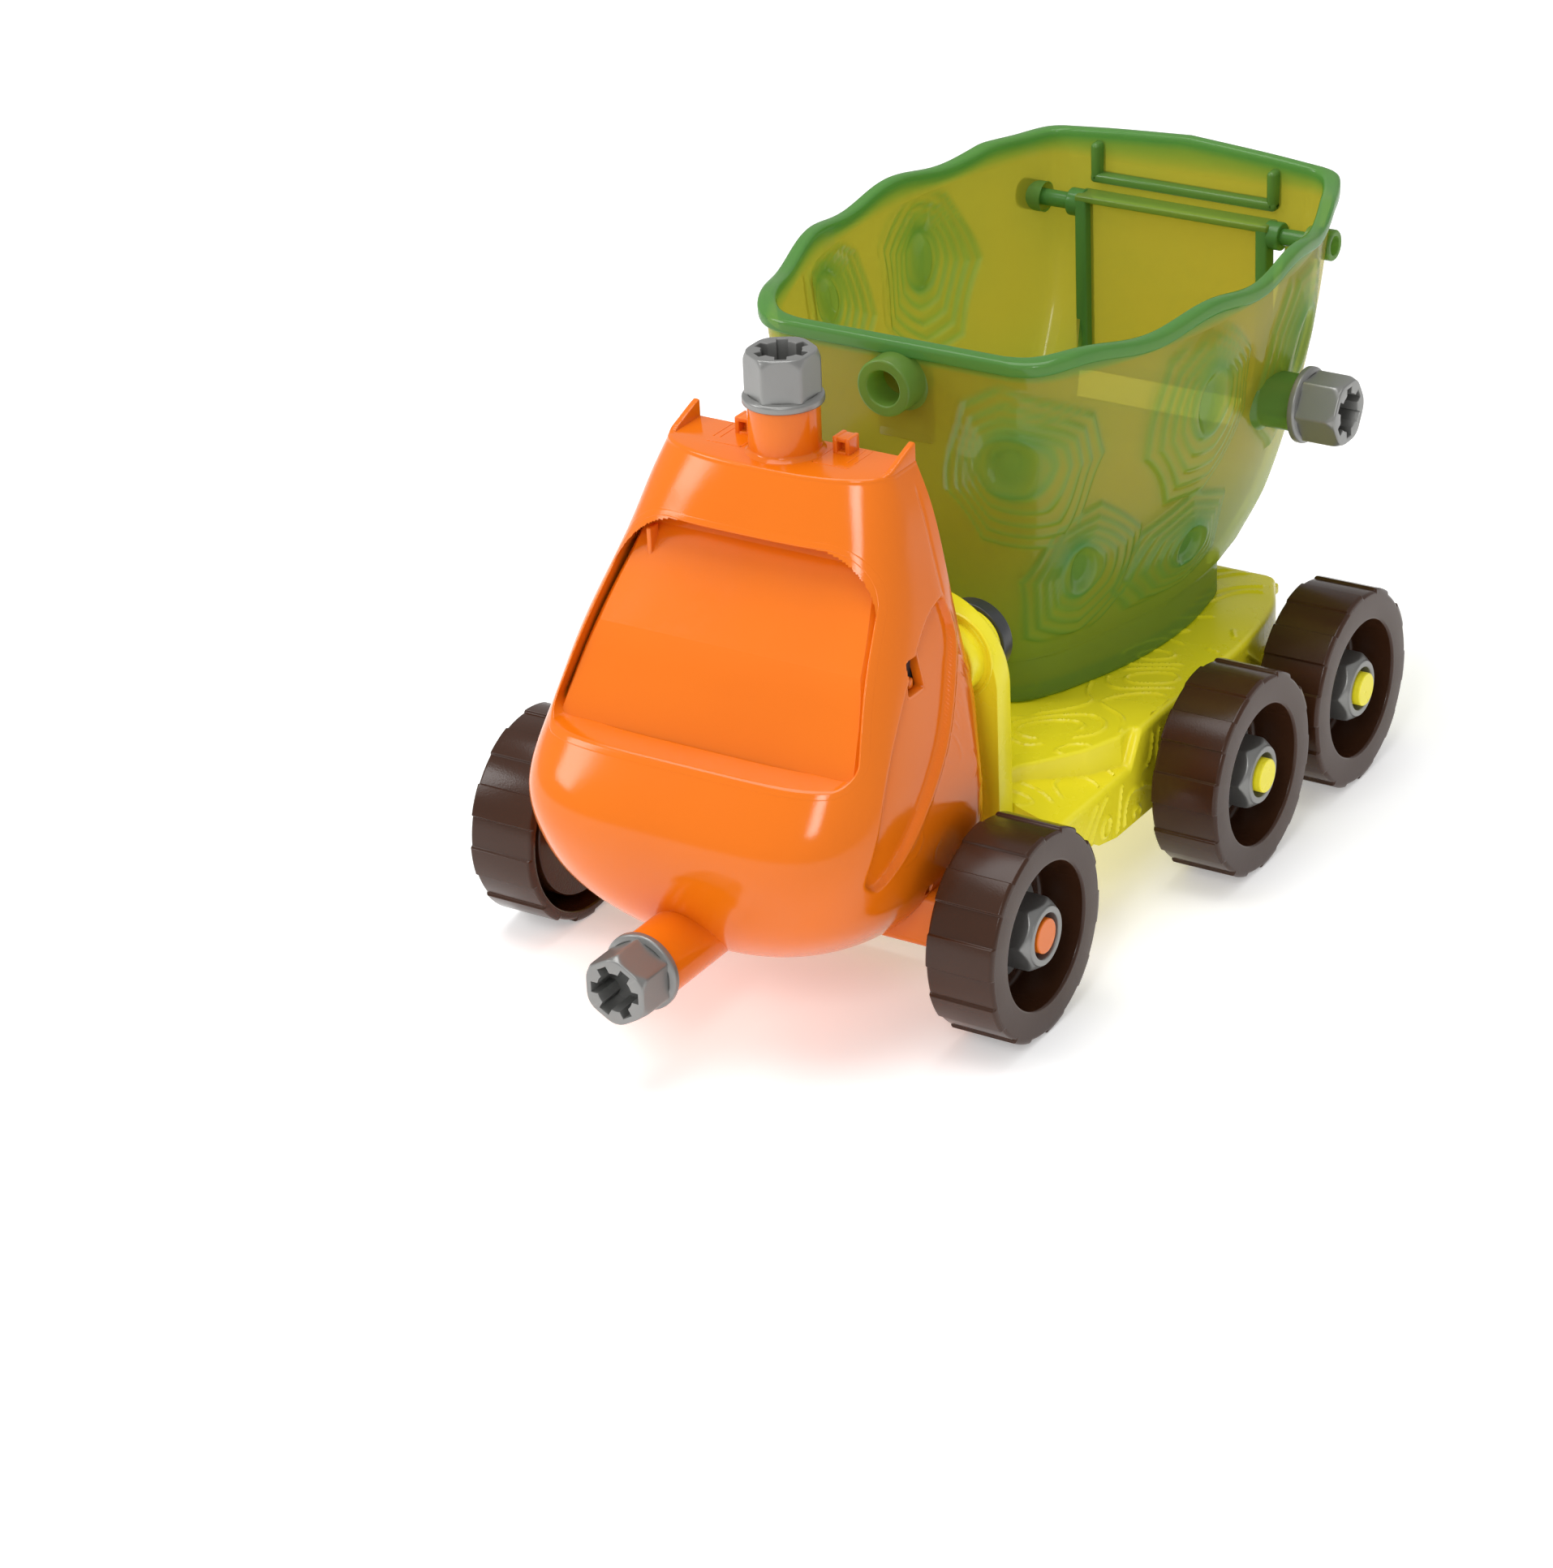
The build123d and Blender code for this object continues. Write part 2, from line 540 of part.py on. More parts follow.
def save(node, shape):
    moved = Pos(0, ORIGIN_SHIFT_Y, 0) * shape
    moved.label = node
    export_step(moved, "parts/" + node + ".step")


def main():
    os.makedirs("parts", exist_ok=True)
    outer = cab_solid(0, CAB_STATIONS[0][0], ROOF_Z, CAB_REAR_Y)
    inner = cab_solid(CAB_WALL, CAB_STATIONS[0][0] + CAB_WALL, ROOF_Z - CAB_WALL, CAB_REAR_Y + 2)
    save("cab_shell", make_cab_shell(outer, inner))
    save("cab_liner", make_cab_liner(inner))
    save("cab_back", make_cab_back(inner))
    save("front_axle", make_front_axle())
    bolt = make_bolt()
    save("roof_bolt", Pos(0, ROOF_TUBE_Y, ROOF_TUBE_TOP_Z) * bolt)
    save("bumper_bolt", Pos(0, BUMPER_TUBE_Y, BUMPER_BOLT_Z) * Rot(90, 0, 0) * bolt)
    save("side_bolt", Pos(SIDE_BOLT_X, SIDE_BOLT_Y, SIDE_BOLT_Z) * Rot(0, 90, 0) * bolt)
    screw = make_cab_screw()
    screw_seat = BULKHEAD_Y[1] + 2
    save("cab_bolt_left", Pos(CAB_BOLT_X, screw_seat, CAB_BOLT_Z) * Rot(-90, 0, 0) * screw)
    save("cab_bolt_right", Pos(-CAB_BOLT_X, screw_seat, CAB_BOLT_Z) * Rot(-90, 0, 0) * screw)
    save("chassis_deck", make_deck())
    save("underframe", make_underframe())
    save("underframe_screws", make_underframe_screws())
    wheel = make_wheel()
    nut = make_nut()
    names = ("front", "mid", "rear")
    for name, y in zip(names, AXLES_Y):
        face_x = FACE_FRONT_X if name == "front" else FACE_REAR_X
        if name != "front":
            save(name + "_axle", make_rear_axle(y))
        for side, tag in ((1, "left"), (-1, "right")):
            save("wheel_" + name + "_" + tag, on_axle(wheel, face_x, y, side))
            save("nut_" + name + "_" + tag, on_axle(nut, face_x - CUP_DEPTH + RUN_GAP, y, side))
    save("tub", make_tub())
    save("tailgate", make_tailgate())
    save("pivot_pin", make_pivot_pin())


main()
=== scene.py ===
"""Looks of the take-apart toy tipper truck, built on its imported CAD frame.

Shapes are worked out in millimetres in the truck's own frame: x to the truck's left, y from the
front axle line towards the tail, z up from the floor. to_row() turns them into the row's metres.
"""
from math import ceil, cos, pi, radians, sin

import bmesh
import bpy
import numpy as np
from mathutils import Matrix, Vector


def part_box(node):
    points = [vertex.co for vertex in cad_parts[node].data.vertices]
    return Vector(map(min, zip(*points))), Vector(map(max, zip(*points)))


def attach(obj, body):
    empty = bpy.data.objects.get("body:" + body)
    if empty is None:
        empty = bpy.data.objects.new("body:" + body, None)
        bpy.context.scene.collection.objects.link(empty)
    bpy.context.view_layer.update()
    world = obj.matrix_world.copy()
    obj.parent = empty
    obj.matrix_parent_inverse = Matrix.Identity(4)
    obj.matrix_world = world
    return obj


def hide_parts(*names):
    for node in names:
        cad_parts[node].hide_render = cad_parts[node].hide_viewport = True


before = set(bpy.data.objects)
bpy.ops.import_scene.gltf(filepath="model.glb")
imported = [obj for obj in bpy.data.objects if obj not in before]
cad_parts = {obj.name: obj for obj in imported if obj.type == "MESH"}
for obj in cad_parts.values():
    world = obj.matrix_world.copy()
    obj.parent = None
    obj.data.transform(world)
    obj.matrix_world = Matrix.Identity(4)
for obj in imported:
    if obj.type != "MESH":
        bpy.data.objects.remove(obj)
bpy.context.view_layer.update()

MM = 0.001
beam_low, beam_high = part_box("front_axle")
AXLE_LINE = np.array([0.0, (beam_low.y + beam_high.y) / 2, 0.0])
SIDES = (("left", 1), ("right", -1))

# wheels, nuts and bolts
WHEEL_R = 35.0
WHEEL_W = 24.0
TREAD_STEP = 0.9
TREAD_BLOCKS = 10
CUP_R = 24.1
CUP_DEPTH = 16.0
HUB_WEB = 6.0
JOURNAL_R = 8.0
AXLE_Z = 35.0
AXLES_Y = {"front": 0.0, "mid": 130.8, "rear": 205.0}
FACE_X = {"front": 98.0, "mid": 106.8, "rear": 106.8}
HEX_AF = 21.3
SOCKET_R = 6.4
NOTCH_R = 8.6
NOTCH_HALF = 1.8
NUT_FLANGE_R = 17.5
BOLT_FLANGE_R = 13.0
BOLT_HEAD = 17.0
SHANK_R = 5.95
SHANK_L = 20.0
BORE_R = 6.0
BOSS_R = 11.5

# cab
CAB_REAR_Y = 24.0
CAB_WIDEST_Y = 12.0
CAB_WALL = 3.0
ROOF_Z = 176.0
ROOF_TUBE_Y = 13.5
ROOF_TUBE_TOP_Z = 192.0
BUMPER_Z = 36.5
BUMPER_END_Y = -79.0
# height, half width, nose y, corner exponent, half width at the rear edge
CAB_STATIONS = np.array([
    (19.0, 26.0, -24.0, 2.1, 24.0),
    (24.0, 40.0, -37.0, 2.4, 38.0),
    (32.0, 51.5, -49.0, 2.8, 49.0),
    (44.0, 61.5, -59.0, 3.3, 58.0),
    (60.0, 66.0, -65.0, 4.0, 61.5),
    (78.0, 66.5, -65.0, 4.6, 60.5),
    (96.0, 63.5, -53.0, 4.8, 60.0),
    (123.0, 57.5, -35.0, 4.6, 54.5),
    (150.0, 49.5, -15.0, 3.6, 49.0),
    (165.0, 45.0, -8.0, 2.8, 45.0),
    (176.0, 40.5, -3.0, 2.2, 40.5),
])
# windscreen corners: half width, height and corner radius, low and high
WINDOW = ((56.5, 95.8, 5.0), (44.3, 156.0, 20.0))

# chassis
DECK_Z = 58.0
DECK_ROUND_Y = 228.0
DECK_ROUND_R = 3.0
BULKHEAD_FRONT_Y = 36.0
BULKHEAD_BACK_Y = 46.0
CAB_BOLT_X = 44.0
CAB_BOLT_Z = 105.0
CAB_BOLT_BOSS = 2.0

# hopper
TUB_WALL = 2.6
TUB_FLOOR_Z = 58.2
LEDGE_Z = 74.0
RIM_Z = 188.0
GATE_Y = 272.0
GATE_Z = 166.0
GATE_HALF_W = 38.0
GATE_LOW_Z = 104.0
NOZZLE_Y = 72.0
NOZZLE_Z = 174.5
NOZZLE_R = 9.75
GATE_PIN_R = 3.0
NUT_BORE_R = 5.86
SIDE_BOLT = (86.0, 200.0, 138.0)
# height, front y, rear y, front half width, rear half width, side bulge
TUB_STATIONS = np.array([
    (74.0, 95.8, 224.0, 33.0, 49.0, 13.0),
    (88.0, 93.0, 248.0, 37.0, 49.0, 16.5),
    (105.0, 91.0, 260.0, 41.0, 50.0, 19.0),
    (130.0, 88.0, 273.0, 45.0, 51.5, 22.0),
    (160.0, 84.5, 280.5, 48.5, 53.0, 25.0),
    (188.0, 82.0, 283.0, 50.0, 54.5, 27.0),
    (197.0, 82.0, 283.0, 50.0, 54.5, 27.0),
])


# ---------------------------------------------------------------- numbers

def ease(t):
    """0 to 1 with level ends."""
    t = np.clip(t, 0.0, 1.0)
    return t * t * (3.0 - 2.0 * t)


def natural_spline(knots, values, at):
    """Smooth curve through values at knots, read at the places in at."""
    knots = np.asarray(knots, float)
    values = np.asarray(values, float)
    values = values if values.ndim == 2 else values[:, None]
    count = len(knots)
    gap = np.diff(knots)
    rise = np.diff(values, axis=0) / gap[:, None]
    system = np.eye(count)
    wanted = np.zeros_like(values)
    for i in range(1, count - 1):
        system[i, i - 1:i + 2] = gap[i - 1], 2 * (gap[i - 1] + gap[i]), gap[i]
        wanted[i] = 6 * (rise[i] - rise[i - 1])
    bend = np.linalg.solve(system, wanted)
    at = np.asarray(at, float)
    i = np.clip(np.searchsorted(knots, at, side="right") - 1, 0, count - 2)
    h = gap[i][..., None]
    a = (knots[i + 1] - at)[..., None] / h
    b = 1 - a
    curved = ((a ** 3 - a) * bend[i] + (b ** 3 - b) * bend[i + 1]) * h ** 2 / 6
    return a * values[i] + b * values[i + 1] + curved


def held_spline(knots, values, at):
    """Curve through values at knots that never overshoots them."""
    knots = np.asarray(knots, float)
    values = np.asarray(values, float)
    gap = np.diff(knots)[:, None]
    rise = np.diff(values, axis=0) / gap
    slope = np.zeros_like(values)
    before, after = rise[:-1], rise[1:]
    same_way = before * after > 0
    total = np.where(same_way, before + after, 1.0)
    slope[1:-1] = np.where(same_way, 2 * before * after / total, 0.0)
    slope[0], slope[-1] = rise[0], rise[-1]
    at = np.asarray(at, float)
    i = np.clip(np.searchsorted(knots, at, side="right") - 1, 0, len(knots) - 2)
    h = gap[i]
    t = ((at - knots[i]) / h[..., 0])[..., None]
    start = (1 + 2 * t) * (1 - t) ** 2 * values[i] + t * (1 - t) ** 2 * h * slope[i]
    end = t * t * (3 - 2 * t) * values[i + 1] + t * t * (t - 1) * h * slope[i + 1]
    return start + end


def held_line(points, at):
    """Curve through (place, value) pairs that never overshoots them."""
    points = np.asarray(points, float)
    return held_spline(points[:, 0], points[:, 1:], at)[..., 0]


def stretches(ends, counts):
    """Even steps from each end to the next; counts takes in both ends of a stretch."""
    made = [[ends[0]]]
    for low, high, count in zip(ends, ends[1:], counts):
        made.append(np.linspace(low, high, count)[1:])
    return np.concatenate(made)


def evenly(points, count):
    """An open polyline walked in equal steps."""
    along = np.concatenate([[0], np.cumsum(np.linalg.norm(np.diff(points, axis=0), axis=1))])
    steps = np.linspace(0, along[-1], count)
    return np.stack([np.interp(steps, along, column) for column in points.T], axis=1)


def through(points, count):
    """A smooth open curve through a few points, in equal steps."""
    points = np.asarray(points, float)
    along = np.concatenate([[0], np.cumsum(np.linalg.norm(np.diff(points, axis=0), axis=1))])
    return evenly(natural_spline(along, points, np.linspace(0, along[-1], 20 * len(points))), count)


def softened(outline, radii, steps=5, closed=False):
    """A polyline with its corners turned into arcs; radii has one entry for each point."""
    outline = [np.asarray(p, float) for p in outline]
    made = []
    count = len(outline)
    for i, corner in enumerate(outline):
        if radii[i] <= 0 or (not closed and i in (0, count - 1)):
            made.append(corner)
            continue
        back = outline[i - 1] - corner
        ahead = outline[(i + 1) % count] - corner
        reach_back, reach_ahead = np.linalg.norm(back), np.linalg.norm(ahead)
        back, ahead = back / reach_back, ahead / reach_ahead
        half = np.arccos(np.clip(back @ ahead, -1, 1)) / 2
        cut = min(radii[i] / np.tan(half), 0.49 * reach_back, 0.49 * reach_ahead)
        radius = cut * np.tan(half)
        centre = corner + (back + ahead) / np.linalg.norm(back + ahead) * radius / np.sin(half)
        start, end = corner + back * cut - centre, corner + ahead * cut - centre
        for k in range(steps + 1):
            mixed = start * (1 - k / steps) + end * k / steps
            made.append(centre + mixed / np.linalg.norm(mixed) * radius)
    return np.array(made)


def outward(ring):
    """Unit directions out of a closed outline at each of its points."""
    ahead = np.roll(ring, -1, axis=0) - np.roll(ring, 1, axis=0)
    out = np.stack([ahead[:, 1], -ahead[:, 0]], axis=1)
    return out / np.linalg.norm(out, axis=1)[:, None]


def ripple_field(u, v, seed, wavelength, waves=26):
    """Smooth random hills over a surface, about -1 to 1."""
    chance = np.random.default_rng(seed)
    total = np.zeros_like(u)
    for _ in range(waves):
        turn = chance.uniform(0, 2 * pi)
        number = 2 * pi / (wavelength * chance.uniform(0.7, 1.6))
        total += np.cos(number * (u * cos(turn) + v * sin(turn)) + chance.uniform(0, 2 * pi))
    return total / np.sqrt(waves)


def grain_lines(u, v, seed, pitch, width, share):
    """Raised wood-grain lines: evenly wide contours of smooth hills, broken up into arcs and loops."""
    hills = ripple_field(u, v, seed, 34.0)
    across = np.gradient(hills, axis=1) / np.maximum(np.abs(np.gradient(u, axis=1)), 1e-6)
    along = np.gradient(hills, axis=0) / np.maximum(np.abs(np.gradient(v, axis=0)), 1e-6)
    steepness = np.hypot(across, along)
    level = pitch * 0.11
    off_line = (np.abs((hills / level) % 1.0 - 0.5)) * level / np.maximum(steepness, 0.012)
    line = 1 - ease(off_line / (width / 2))
    gate = ripple_field(u, v, seed + 5, 30.0)
    cut = np.quantile(gate, 1 - share)
    return line * ease((gate - cut) / 0.25)


# ---------------------------------------------------------------- mesh building

class Skin:
    """Points in millimetres, faces of any size and one tone value a point, gathered into one mesh."""

    def __init__(self):
        self.points, self.faces, self.tones, self.count = [], [], [], 0

    def add(self, points, faces, tone=0.0):
        """faces is a list of index arrays, each with one row a face."""
        points = np.asarray(points, float).reshape(-1, 3)
        self.points.append(points)
        self.tones.append(np.broadcast_to(np.asarray(tone, float).ravel(), (len(points),)))
        self.faces += [np.asarray(f, int) + self.count for f in faces if len(f)]
        self.count += len(points)
        return self

    def grid(self, rows, wrap=False, flip=False, keep=None, tone=0.0, caps=()):
        """A sheet of quads over rows[i, j]; wrap joins the last column to the first, caps closes ends."""
        m, n = rows.shape[:2]
        index = np.arange(m * n).reshape(m, n)
        if wrap:
            index = np.hstack([index, index[:, :1]])
        quads = np.stack([index[:-1, :-1], index[:-1, 1:], index[1:, 1:], index[1:, :-1]], axis=-1)
        quads = quads[keep] if keep is not None else quads.reshape(-1, 4)
        faces = [quads[:, ::-1] if flip else quads]
        for end in caps:
            ring = index[end, :n]
            faces.append((ring if (end == 0) == flip else ring[::-1])[None, :])
        return self.add(rows.reshape(-1, 3), faces, tone if np.ndim(tone) == 0 else np.asarray(tone).ravel())

    def moved(self, matrix):
        """The same skin carried by a 4x4 matrix."""
        other = Skin()
        turn, shift = matrix[:3, :3], matrix[:3, 3]
        other.points = [p @ turn.T + shift for p in self.points]
        mirrored = np.linalg.det(turn) < 0
        other.faces = [f[:, ::-1] for f in self.faces] if mirrored else list(self.faces)
        other.tones, other.count = list(self.tones), self.count
        return other

    def toned(self, tone):
        """This skin with one tone all over."""
        self.tones = [np.full(len(p), tone) for p in self.points]
        return self

    def join(self, other):
        self.points += other.points
        self.tones += other.tones
        self.faces += [f + self.count for f in other.faces]
        self.count += other.count
        return self

    def both_sides(self):
        """This skin with its mirror image across the truck's middle."""
        return self.join(self.moved(np.diag([-1.0, 1.0, 1.0, 1.0])))

    def piece(self, name, material, body, replaces=(), sharp=38.0):
        mesh = bpy.data.meshes.new(name)
        points = to_row(np.vstack(self.points))
        sizes = np.concatenate([np.full(len(f), f.shape[1]) for f in self.faces])
        corners = np.concatenate([f.ravel() for f in self.faces])
        mesh.vertices.add(len(points))
        mesh.vertices.foreach_set("co", points.ravel())
        mesh.loops.add(len(corners))
        mesh.loops.foreach_set("vertex_index", corners)
        mesh.polygons.add(len(sizes))
        mesh.polygons.foreach_set("loop_start", np.concatenate([[0], np.cumsum(sizes)[:-1]]))
        mesh.update(calc_edges=True)
        mesh.validate()
        tone = mesh.attributes.new("tone", "FLOAT", "POINT")
        tone.data.foreach_set("value", np.concatenate(self.tones))
        mesh.polygons.foreach_set("use_smooth", np.ones(len(mesh.polygons), bool))
        mesh.set_sharp_from_angle(angle=radians(sharp))
        mesh.materials.append(material)
        shown = bpy.data.objects.new(name, mesh)
        bpy.context.scene.collection.objects.link(shown)
        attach(shown, body)
        if replaces:
            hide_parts(*replaces)
        return shown


def to_row(points):
    """Millimetres in the truck's frame to the row's metres."""
    return points * MM + AXLE_LINE


def level_row(flat, z):
    """(x, y) points lifted to one height."""
    return np.column_stack([flat, np.full(len(flat), z)])


def upright_row(flat, y):
    """(x, z) points set at one y."""
    return np.column_stack([flat[:, 0], np.full(len(flat), y), flat[:, 1]])


def place(x=0.0, y=0.0, z=0.0, turn=None, degrees=0.0):
    """4x4 that turns about an axis, then shifts."""
    spin = Matrix.Rotation(radians(degrees), 4, turn) if turn else Matrix.Identity(4)
    return np.array(Matrix.Translation((x, y, z)) @ spin)


def lathe(profile, angles=96, radius_at=None):
    """A turned piece about z from (radius, height) points; radius_at changes the radii with the angle."""
    turn = np.linspace(0, 2 * pi, angles, endpoint=False) if np.ndim(angles) == 0 else angles
    profile = np.asarray(profile, float)
    radii = np.repeat(profile[:, :1], len(turn), axis=1)
    if radius_at is not None:
        radii = radius_at(radii, turn)
    heights = np.repeat(profile[:, 1:2], len(turn), axis=1)
    rows = np.stack([radii * np.cos(turn), radii * np.sin(turn), heights], axis=-1)
    return Skin().grid(rows, wrap=True)


def from_bmesh(bm, tone=0.0):
    bm.verts.ensure_lookup_table()
    points = np.array([v.co[:] for v in bm.verts])
    by_size = {}
    for face in bm.faces:
        by_size.setdefault(len(face.verts), []).append([v.index for v in face.verts])
    bm.free()
    return Skin().add(points, [np.array(f) for f in by_size.values()], tone)


def soften_edges(bm, width, steps=3, angle=25.0):
    edges = [e for e in bm.edges if len(e.link_faces) == 2 and e.calc_face_angle() > radians(angle)]
    bmesh.ops.bevel(bm, geom=edges, offset=width, segments=steps, profile=0.5, affect="EDGES",
                    clamp_overlap=True)
    bm.normal_update()
    bm.verts.index_update()


def block(x0, x1, y0, y1, z0, z1, soft=0.6, tone=0.0):
    """A box with rounded edges."""
    bm = bmesh.new()
    bmesh.ops.create_cube(bm, size=1.0)
    low, size = np.array([x0, y0, z0]), np.array([x1 - x0, y1 - y0, z1 - z0])
    for v in bm.verts:
        v.co = low + (np.array(v.co) + 0.5) * size
    soften_edges(bm, soft)
    return from_bmesh(bm, tone)


def blocks(boxes):
    """Rounded boxes gathered into one skin."""
    made = Skin()
    for box in boxes:
        made.join(block(*box))
    return made


def slab(outline, start, end, soft):
    """A flat (y, z) outline carried along x, with rounded edges."""
    bm = bmesh.new()
    low = [bm.verts.new((start, y, z)) for y, z in outline]
    high = [bm.verts.new((end, y, z)) for y, z in outline]
    bm.faces.new(low)
    bm.faces.new(high)
    for i in range(len(low)):
        j = (i + 1) % len(low)
        bm.faces.new((low[i], low[j], high[j], high[i]))
    bmesh.ops.recalc_face_normals(bm, faces=bm.faces)
    bm.verts.index_update()
    soften_edges(bm, soft)
    return from_bmesh(bm)


# ---------------------------------------------------------------- materials

def shader(name, slot):
    """A material with its node tree, a Principled shader and object-space coordinates."""
    made = bpy.data.materials.new(name)
    made.use_nodes = True
    made["row_slot"] = slot
    tree = made.node_tree
    principled = tree.nodes["Principled BSDF"]
    where = tree.nodes.new("ShaderNodeTexCoord").outputs["Object"]
    return made, tree, principled, where


def noise(tree, where, per_metre, detail=3.0, rough=0.55):
    node = tree.nodes.new("ShaderNodeTexNoise")
    node.inputs["Scale"].default_value = per_metre
    node.inputs["Detail"].default_value = detail
    node.inputs["Roughness"].default_value = rough
    tree.links.new(where, node.inputs["Vector"])
    return node.outputs["Fac"]


def ramp(tree, value, stops):
    """Colours or greys between places 0 to 1."""
    node = tree.nodes.new("ShaderNodeValToRGB")
    elements = node.color_ramp.elements
    while len(elements) < len(stops):
        elements.new(0.5)
    for element, (at, colour) in zip(elements, stops):
        element.position = at
        element.color = (*colour, 1.0) if np.ndim(colour) else (colour, colour, colour, 1.0)
    tree.links.new(value, node.inputs["Fac"])
    return node.outputs["Color"]


def mixed(tree, share, low, high):
    """Blend of two colour sockets or colours."""
    node = tree.nodes.new("ShaderNodeMix")
    node.data_type = "RGBA"
    for socket, value in ((node.inputs["Factor"], share), (node.inputs["A"], low), (node.inputs["B"], high)):
        if isinstance(value, bpy.types.NodeSocket):
            tree.links.new(value, socket)
        else:
            socket.default_value = value if np.ndim(value) == 0 else (*value, 1.0)
    return [o for o in node.outputs if o.type == "RGBA"][0]


def counted(tree, action, first, second):
    node = tree.nodes.new("ShaderNodeMath")
    node.operation = action
    for socket, value in zip(node.inputs, (first, second)):
        if isinstance(value, bpy.types.NodeSocket):
            tree.links.new(value, socket)
        else:
            socket.default_value = value
    return node.outputs[0]


def bumped(tree, principled, heights):
    """Bumps in metres from (height socket, depth) pairs, one on the other."""
    last = None
    for height, depth in heights:
        node = tree.nodes.new("ShaderNodeBump")
        node.inputs["Distance"].default_value = depth
        tree.links.new(height, node.inputs["Height"])
        if last is not None:
            tree.links.new(last, node.inputs["Normal"])
        last = node.outputs["Normal"]
    tree.links.new(last, principled.inputs["Normal"])
    return last


def moulded_plastic(name, slot, colour, shade, gloss, orange_peel=0.00002, sheen=0.5, metallic=0.0):
    """Opaque injection-moulded plastic: slight colour drift, handling haze, paler sharp outward edges, sink
    ripple.
    """
    made, tree, principled, where = shader(name, slot)
    drift = noise(tree, where, 14.0, 2.0)
    edge_pointiness = tree.nodes.new("ShaderNodeNewGeometry").outputs["Pointiness"]
    # sharp outward edges are made paler
    edge = ramp(tree, edge_pointiness, [(0.50, 0.0), (0.56, 0.35)])
    body = mixed(tree, ramp(tree, drift, [(0.35, 0.0), (0.68, 1.0)]), colour, shade)
    lifted = tuple(min(1.0, c * 1.12 + 0.015) for c in colour)
    tree.links.new(mixed(tree, edge, body, lifted), principled.inputs["Base Color"])
    smears = noise(tree, where, 55.0, 5.0)
    haze = ramp(tree, smears, [(0.3, gloss * 0.8), (0.62, gloss), (0.78, gloss * 1.35)])
    tree.links.new(haze, principled.inputs["Roughness"])
    principled.inputs["Metallic"].default_value = metallic
    principled.inputs["Specular IOR Level"].default_value = sheen
    ripple = noise(tree, where, 30.0, 1.0)
    grit = noise(tree, where, 1800.0, 2.0)
    bumped(tree, principled, [(ripple, 0.00012), (grit, orange_peel)])
    return made


# colours of the clear green plastic, and what light keeps on its way through
THIN_WALL = (0.57, 0.46, 0.055)
MID_WALL = (0.34, 0.45, 0.075)
THICK_WALL = (0.14, 0.36, 0.09)
THIN_TINT = (0.84, 0.78, 0.24)
THICK_TINT = (0.48, 0.74, 0.26)


def clear_green(name, slot):
    """Tinted see-through plastic. tone 0 is a thin wall, 1 is thick stock seen edge on; the hopper's knots
    also add painted shade to it.
    """
    made, tree, principled, where = shader(name, slot)
    tone = tree.nodes.new("ShaderNodeAttribute")
    tone.attribute_name = "tone"
    off_mean = counted(tree, "SUBTRACT", noise(tree, where, 16.0, 2.0), 0.5)
    drift = counted(tree, "MULTIPLY", off_mean, 0.18)
    thick = counted(tree, "ADD", tone.outputs["Fac"], drift)
    body = ramp(tree, thick, [(0.0, THIN_WALL), (0.45, MID_WALL), (1.0, THICK_WALL)])
    tree.links.new(body, principled.inputs["Base Color"])
    haze = ramp(tree, noise(tree, where, 70.0, 4.0), [(0.3, 0.10), (0.75, 0.19)])
    tree.links.new(haze, principled.inputs["Roughness"])
    principled.inputs["Specular IOR Level"].default_value = 0.55
    ripple = noise(tree, where, 45.0, 1.5)
    grit = noise(tree, where, 1500.0, 2.0)
    normal = bumped(tree, principled, [(ripple, 0.0002), (grit, 0.00001)])
    glow = tree.nodes.new("ShaderNodeBsdfTranslucent")
    tree.links.new(body, glow.inputs["Color"])
    tree.links.new(normal, glow.inputs["Normal"])
    clear = tree.nodes.new("ShaderNodeBsdfTransparent")
    tree.links.new(ramp(tree, thick, [(0.0, THIN_TINT), (1.0, THICK_TINT)]), clear.inputs["Color"])
    milky = tree.nodes.new("ShaderNodeMixShader")
    milky.inputs["Fac"].default_value = 0.42
    tree.links.new(principled.outputs["BSDF"], milky.inputs[1])
    tree.links.new(glow.outputs["BSDF"], milky.inputs[2])
    seen = tree.nodes.new("ShaderNodeMixShader")
    tree.links.new(ramp(tree, thick, [(0.0, 0.60), (1.0, 0.80)]), seen.inputs["Fac"])
    tree.links.new(clear.outputs["BSDF"], seen.inputs[1])
    tree.links.new(milky.outputs["Shader"], seen.inputs[2])
    tree.links.new(seen.outputs["Shader"], tree.nodes["Material Output"].inputs["Surface"])
    return made


orange = moulded_plastic("orange_moulded", "orange_plastic", (0.77, 0.165, 0.0045), (0.74, 0.152, 0.004),
                         0.13, sheen=0.36)
lime = moulded_plastic("lime_moulded", "lime_plastic", (0.93, 0.81, 0.022), (0.89, 0.78, 0.018),
                       0.30, sheen=0.4)
brown = moulded_plastic("brown_moulded", "brown_plastic", (0.048, 0.0185, 0.0085), (0.040, 0.015, 0.007),
                        0.22, 0.00003, sheen=0.3)
# grey-black plastic as painted shade: on the cab screws, for the shadow they sit in, and on the plates behind
# the side slots
painted_shade = moulded_plastic("dark_moulded", "dark_grey_plastic", (0.030, 0.032, 0.034), (0.024, 0.026, 0.028),
                       0.35, 0.00003)
silver = moulded_plastic("silver_moulded", "silver_plastic", (0.25, 0.25, 0.24), (0.22, 0.22, 0.215),
                         0.36, 0.00003, metallic=0.55)
steel = moulded_plastic("steel_ground", "steel_pin", (0.55, 0.55, 0.57), (0.48, 0.48, 0.50),
                        0.28, metallic=1.0)
green = clear_green("green_clear", "green_clear_plastic")


# ---------------------------------------------------------------- nuts and bolts

